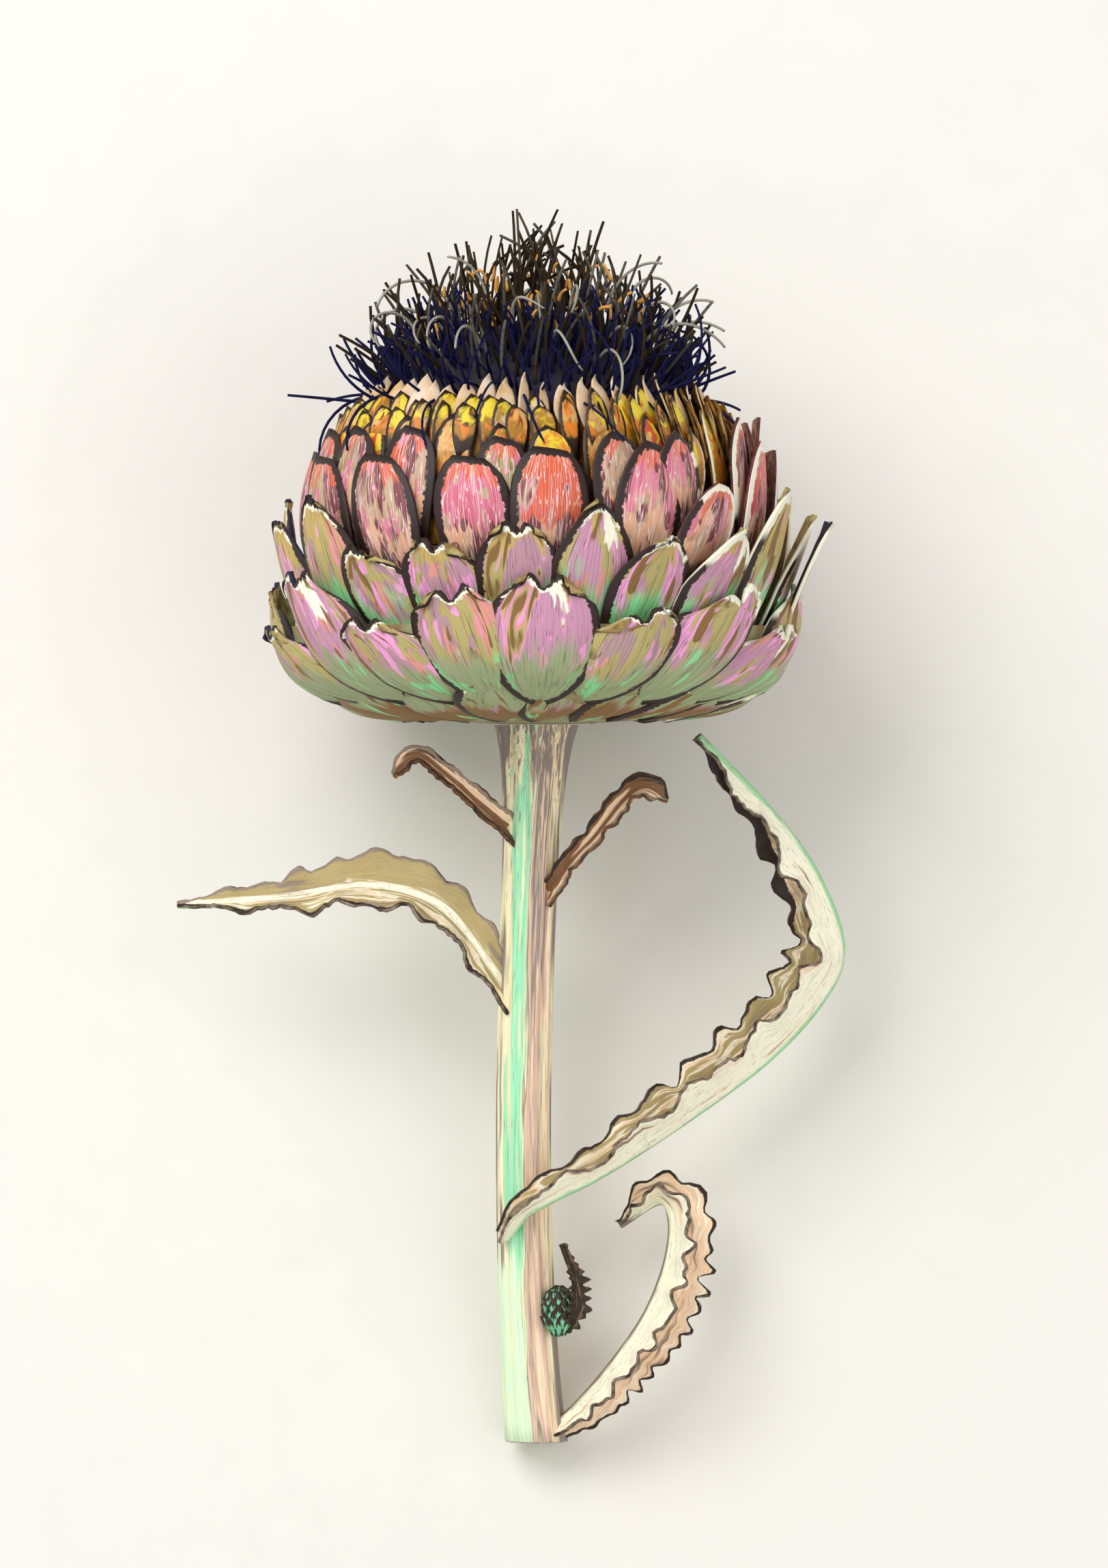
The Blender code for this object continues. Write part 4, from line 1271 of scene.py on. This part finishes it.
def bud_scale_paint(settings):
    """A green scale of the bud, with a dried tip and dried edges."""
    paint = Paint("bud scale")
    rim, share = paint.split(paint.attribute("mark"))[:2]
    veins = paint.clouds(paint.attribute("fibre"), (1.6, 0.3, 1))
    body = paint.layer(settings.green, settings.brown, paint.maths("ADD", share, veins), 0.98, 1.12)
    body = paint.layer(body, settings.brown, paint.maths("ADD", rim, veins), 1.25, 1.05)
    return paint.finish(body, 0.6, veins, 0.0002)


def add_stem(settings):
    """The ribbed stem, raised ring by ring, with a dished cut end."""
    work = new_work()
    foot, rings = raise_rings(work, STEM_SIDES, STEM_RINGS)
    for step, ring in enumerate(rings):
        height = STEM_LENGTH * math.sin(math.pi / 2 * step / STEM_RINGS)
        for vert in ring:
            turn = math.atan2(vert.co.x, -vert.co.y)
            fine = settings.fine_relief * math.cos(FINE_RIBS * turn)
            radius = stem_radius(height, turn, settings.relief) * (1 + fine)
            across, deep = radius * math.sin(turn), -radius * math.cos(turn)
            point = Vector((stem_centre(height) + across, deep, height))
            set_spot(work, vert, Spot(point, (across / MM, deep / MM, height / MM), (0, 0, 0)))
    dish = bmesh.ops.inset_region(work, faces=[foot], thickness=DISH_RIM, depth=-DISH_DEPTH)
    for face in (foot, *dish["faces"]):
        face.material_index = 1
    bmesh.ops.recalc_face_normals(work, faces=work.faces)
    paints = [stem_paint(settings), cut_paint(settings)]
    return add_piece("stem_shoot", work, "stem", paints)


class ARTICHOKE_OT_add_stage(bpy.types.Operator):
    """Add the pale floor, the soft light and the camera over the artichoke's front"""

    bl_idname = "artichoke.add_stage"
    bl_label = "Stage"
    bl_options = {"REGISTER", "UNDO"}

    def execute(self, context):
        settings = context.scene.artichoke.stage
        work = bmesh.new()
        bmesh.ops.create_grid(work, x_segments=1, y_segments=1, size=FLOOR_REACH)
        mesh = bpy.data.meshes.new("floor")
        work.to_mesh(mesh)
        work.free()
        paint = Paint("floor")
        grain = paint.clouds(paint.position(), 60, detail=3)
        darker = [0.96 * share for share in settings.floor]
        mesh.materials.append(paint.finish(paint.mix(grain, settings.floor, darker), 0.9))
        floor = bpy.data.objects.new("floor", mesh)
        context.scene.collection.objects.link(floor)
        self.add_light("key", *KEY_LIGHT, settings.key_power)
        self.add_light("fill", *FILL_LIGHT, settings.fill_power)
        world = bpy.data.worlds.new("soft sky")
        world.use_nodes = True
        sky = world.node_tree.nodes["Background"]
        sky.inputs["Color"].default_value = (1, 1, 1, 1)
        sky.inputs["Strength"].default_value = settings.sky
        context.scene.world = world
        context.scene.view_settings.view_transform = "Standard"
        self.add_camera(context)
        return {"FINISHED"}

    def add_light(self, name, place, size, power):
        light = bpy.data.lights.new(name, "AREA")
        light.size = size
        light.energy = power
        lamp = bpy.data.objects.new(name, light)
        lamp.location = place
        lamp.rotation_euler = (-Vector(place)).to_track_quat("-Z", "Y").to_euler()
        bpy.context.scene.collection.objects.link(lamp)

    def add_camera(self, context):
        camera = bpy.data.cameras.new("camera")
        camera.lens = LENS
        camera.sensor_fit = "VERTICAL"
        camera.sensor_height = FILM_HEIGHT
        view = bpy.data.objects.new("camera", camera)
        place = (Vector(AIM) + FRONT * CAMERA_DISTANCE) * MM
        view.matrix_world = PLACE @ Matrix.Translation(place) @ Matrix.Rotation(math.pi / 2, 4, "X")
        context.scene.collection.objects.link(view)
        context.scene.camera = view


class ARTICHOKE_OT_add_stem(bpy.types.Operator):
    """Shape the ribbed stem and colour its stripes"""

    bl_idname = "artichoke.add_stem"
    bl_label = "Stem"
    bl_options = {"REGISTER", "UNDO"}

    def execute(self, context):
        add_stem(context.scene.artichoke.stem)
        return {"FINISHED"}


class ARTICHOKE_OT_add_outer_bracts(bpy.types.Operator):
    """Shape the head's underside and its lower and upper rings of bracts"""

    bl_idname = "artichoke.add_outer_bracts"
    bl_label = "Outer Bracts"
    bl_options = {"REGISTER", "UNDO"}

    def execute(self, context):
        look = context.scene.artichoke.outer
        back = plain_paint("outer bract back", look.brown, look.khaki)
        dark = plain_paint("stray bract back", look.margin, look.navy)
        rim = rim_paint("outer bract rim", look)
        node, slot = "outer_bracts", "outer_bract"
        add_core("heart", HEART, node, plain_paint("heart", look.brown, look.sage, scale=90))
        faces = {
            BASAL: outer_paint("basal bract", look, look.brown, 0.6, look.sage, 0.6),
            LOWER: outer_paint("lower bract", look, look.sage, 0.5, look.mauve, 1.2),
            UPPER: outer_paint("upper bract", look, look.mint, 0.5, look.tan, 0.84),
            STRAY: outer_paint("stray bract", look, look.margin, 0.9, look.margin, 0.5),
        }
        for row, face in faces.items():
            inner = dark if row is STRAY else back
            add_ring(row, node, [face, inner, rim], look.relief, look.fray)
        return {"FINISHED"}


class ARTICHOKE_OT_add_middle_bracts(bpy.types.Operator):
    """Shape the ring of rosy bracts and the russet one above it"""

    bl_idname = "artichoke.add_middle_bracts"
    bl_label = "Middle Bracts"
    bl_options = {"REGISTER", "UNDO"}

    def execute(self, context):
        look = context.scene.artichoke.rosy
        # Painted shade: the backs are plum and buff, so the gaps between rosy bracts look shaded.
        back = plain_paint("rosy bract back", look.plum, look.buff)
        rim = plain_paint("rosy bract rim", look.margin, look.plum)
        node, slot = "middle_bracts", "rosy_bract"
        # Painted shade: the middle core is near-black and plum, so the gaps between the rings look shaded.
        add_core("middle_core", MIDDLE_CORE, node, plain_paint("middle core", look.margin, look.plum))
        for row in (ROSY, RUSSET):
            add_ring(row, node, [rosy_paint(f"{row.name} bract", look), back, rim], look.relief)
        return {"FINISHED"}


class ARTICHOKE_OT_add_inner_bracts(bpy.types.Operator):
    """Shape the narrow amber and golden bracts and the pale points round the tuft"""

    bl_idname = "artichoke.add_inner_bracts"
    bl_label = "Inner Bracts"
    bl_options = {"REGISTER", "UNDO"}

    def execute(self, context):
        look = context.scene.artichoke.inner
        warm = [look.ember, look.orange, look.ochre, look.buff, look.orange, look.yellow]
        bright = [look.yellow, look.ochre, look.bleached, look.yellow, look.orange, look.ochre]
        mixed = [look.yellow, look.margin, look.orange, look.buff, look.ochre, look.yellow]
        pale = plain_paint("bleached point", look.bleached, look.buff, scale=120)
        back = plain_paint("inner bract back", look.ochre, look.margin)
        rim = plain_paint("inner bract rim", look.margin, look.ochre)
        node, slot = "inner_bracts", "golden_bract"
        # Painted shade: the inner core is near-black and ochre, so the gaps between the narrow bracts look
        # shaded.
        add_core("inner_core", INNER_CORE, node, plain_paint("inner core", look.margin, look.ochre))
        faces = {
            AMBER: inner_paint("amber bract", look, warm, width=1.3),
            GOLDEN: inner_paint("golden bract", look, bright),
            GILT: inner_paint("gilt bract", look, mixed),
            BLEACHED: pale,
        }
        for row, face in faces.items():
            add_ring(row, node, [face, back, pale if row is BLEACHED else rim])
        return {"FINISHED"}


class ARTICHOKE_OT_add_florets(bpy.types.Operator):
    """Shape the tuft of dark threads on its core"""

    bl_idname = "artichoke.add_florets"
    bl_label = "Florets"
    bl_options = {"REGISTER", "UNDO"}

    def execute(self, context):
        look = context.scene.artichoke.florets
        core = plain_paint("tuft core", look.navy, look.brown)
        add_core("tuft_core", TUFT_CORE, "florets", core)
        brown = thread_paint("brown thread", look.brown, look.grey)
        navy = thread_paint("navy thread", look.navy, look.navy)
        kinds = (
            (BROWN_THREADS, look.brown_count, brown),
            (NAVY_THREADS, look.navy_count, navy),
            (STRAY_THREADS, look.stray_count, navy),
            (GREY_THREADS, look.grey_count, thread_paint("grey thread", look.grey, look.brown)),
            (TAN_FLECKS, look.tan_count, thread_paint("tan fleck", look.tan, look.brown)),
        )
        for kind, count, paint in kinds:
            add_threads(kind, count, look.radius, paint)
        return {"FINISHED"}


class ARTICHOKE_OT_add_leaves(bpy.types.Operator):
    """Shape the folded leaves of the stem"""

    bl_idname = "artichoke.add_leaves"
    bl_label = "Leaves"
    bl_options = {"REGISTER", "UNDO"}

    def execute(self, context):
        look = context.scene.artichoke.leaves
        paints = {
            "leaf_left": leaf_paints(look, look.khaki, look.mint, other=0.2),
            # The long leaf's inside gets painted shade inside its fold, towards the tip.
            "leaf_long": leaf_paints(look, look.khaki, look.mint, other=0.1, widening=2.6),
            "leaf_low": leaf_paints(look, look.peach, look.taupe, hand=1),
        }
        dry = dry_leaf_paints(look)
        for leaf in LEAVES:
            add_leaf(leaf, leaf.name, paints.get(leaf.name, dry), look.ripple)
        return {"FINISHED"}


class ARTICHOKE_OT_add_bud(bpy.types.Operator):
    """Shape the side bud with its scales and its leaf"""

    bl_idname = "artichoke.add_bud"
    bl_label = "Side Bud"
    bl_options = {"REGISTER", "UNDO"}

    def execute(self, context):
        settings = context.scene.artichoke
        add_bud(settings.bud, settings.leaves)
        return {"FINISHED"}


STEPS = (
    ("stage", ARTICHOKE_OT_add_stage),
    ("stem", ARTICHOKE_OT_add_stem),
    ("outer", ARTICHOKE_OT_add_outer_bracts),
    ("rosy", ARTICHOKE_OT_add_middle_bracts),
    ("inner", ARTICHOKE_OT_add_inner_bracts),
    ("florets", ARTICHOKE_OT_add_florets),
    ("leaves", ARTICHOKE_OT_add_leaves),
    ("bud", ARTICHOKE_OT_add_bud),
)


class ARTICHOKE_PT_sidebar(bpy.types.Panel):
    """The artichoke's settings, with a button for each group of pieces"""

    bl_label = "Artichoke"
    bl_space_type = "VIEW_3D"
    bl_region_type = "UI"
    bl_category = "Artichoke"

    def draw(self, context):
        for name, operator in STEPS:
            box = self.layout.box()
            box.operator(operator.bl_idname)
            group = getattr(context.scene.artichoke, name)
            for key in group.bl_rna.properties.keys():
                if key not in ("rna_type", "name"):
                    box.prop(group, key)


CLASSES = (
    StemSettings,
    OuterSettings,
    RosySettings,
    InnerSettings,
    FloretSettings,
    LeafSettings,
    BudSettings,
    StageSettings,
    ArtichokeSettings,
    *(operator for _, operator in STEPS),
    ARTICHOKE_PT_sidebar,
)


def register():
    for each in CLASSES:
        bpy.utils.register_class(each)
    bpy.types.Scene.artichoke = PointerProperty(type=ArtichokeSettings)


def unregister():
    del bpy.types.Scene.artichoke
    for each in reversed(CLASSES):
        bpy.utils.unregister_class(each)


def main():
    register()
    for _, operator in STEPS:
        group, action = operator.bl_idname.split(".")
        getattr(getattr(bpy.ops, group), action)()


if __name__ == "__main__":
    main()
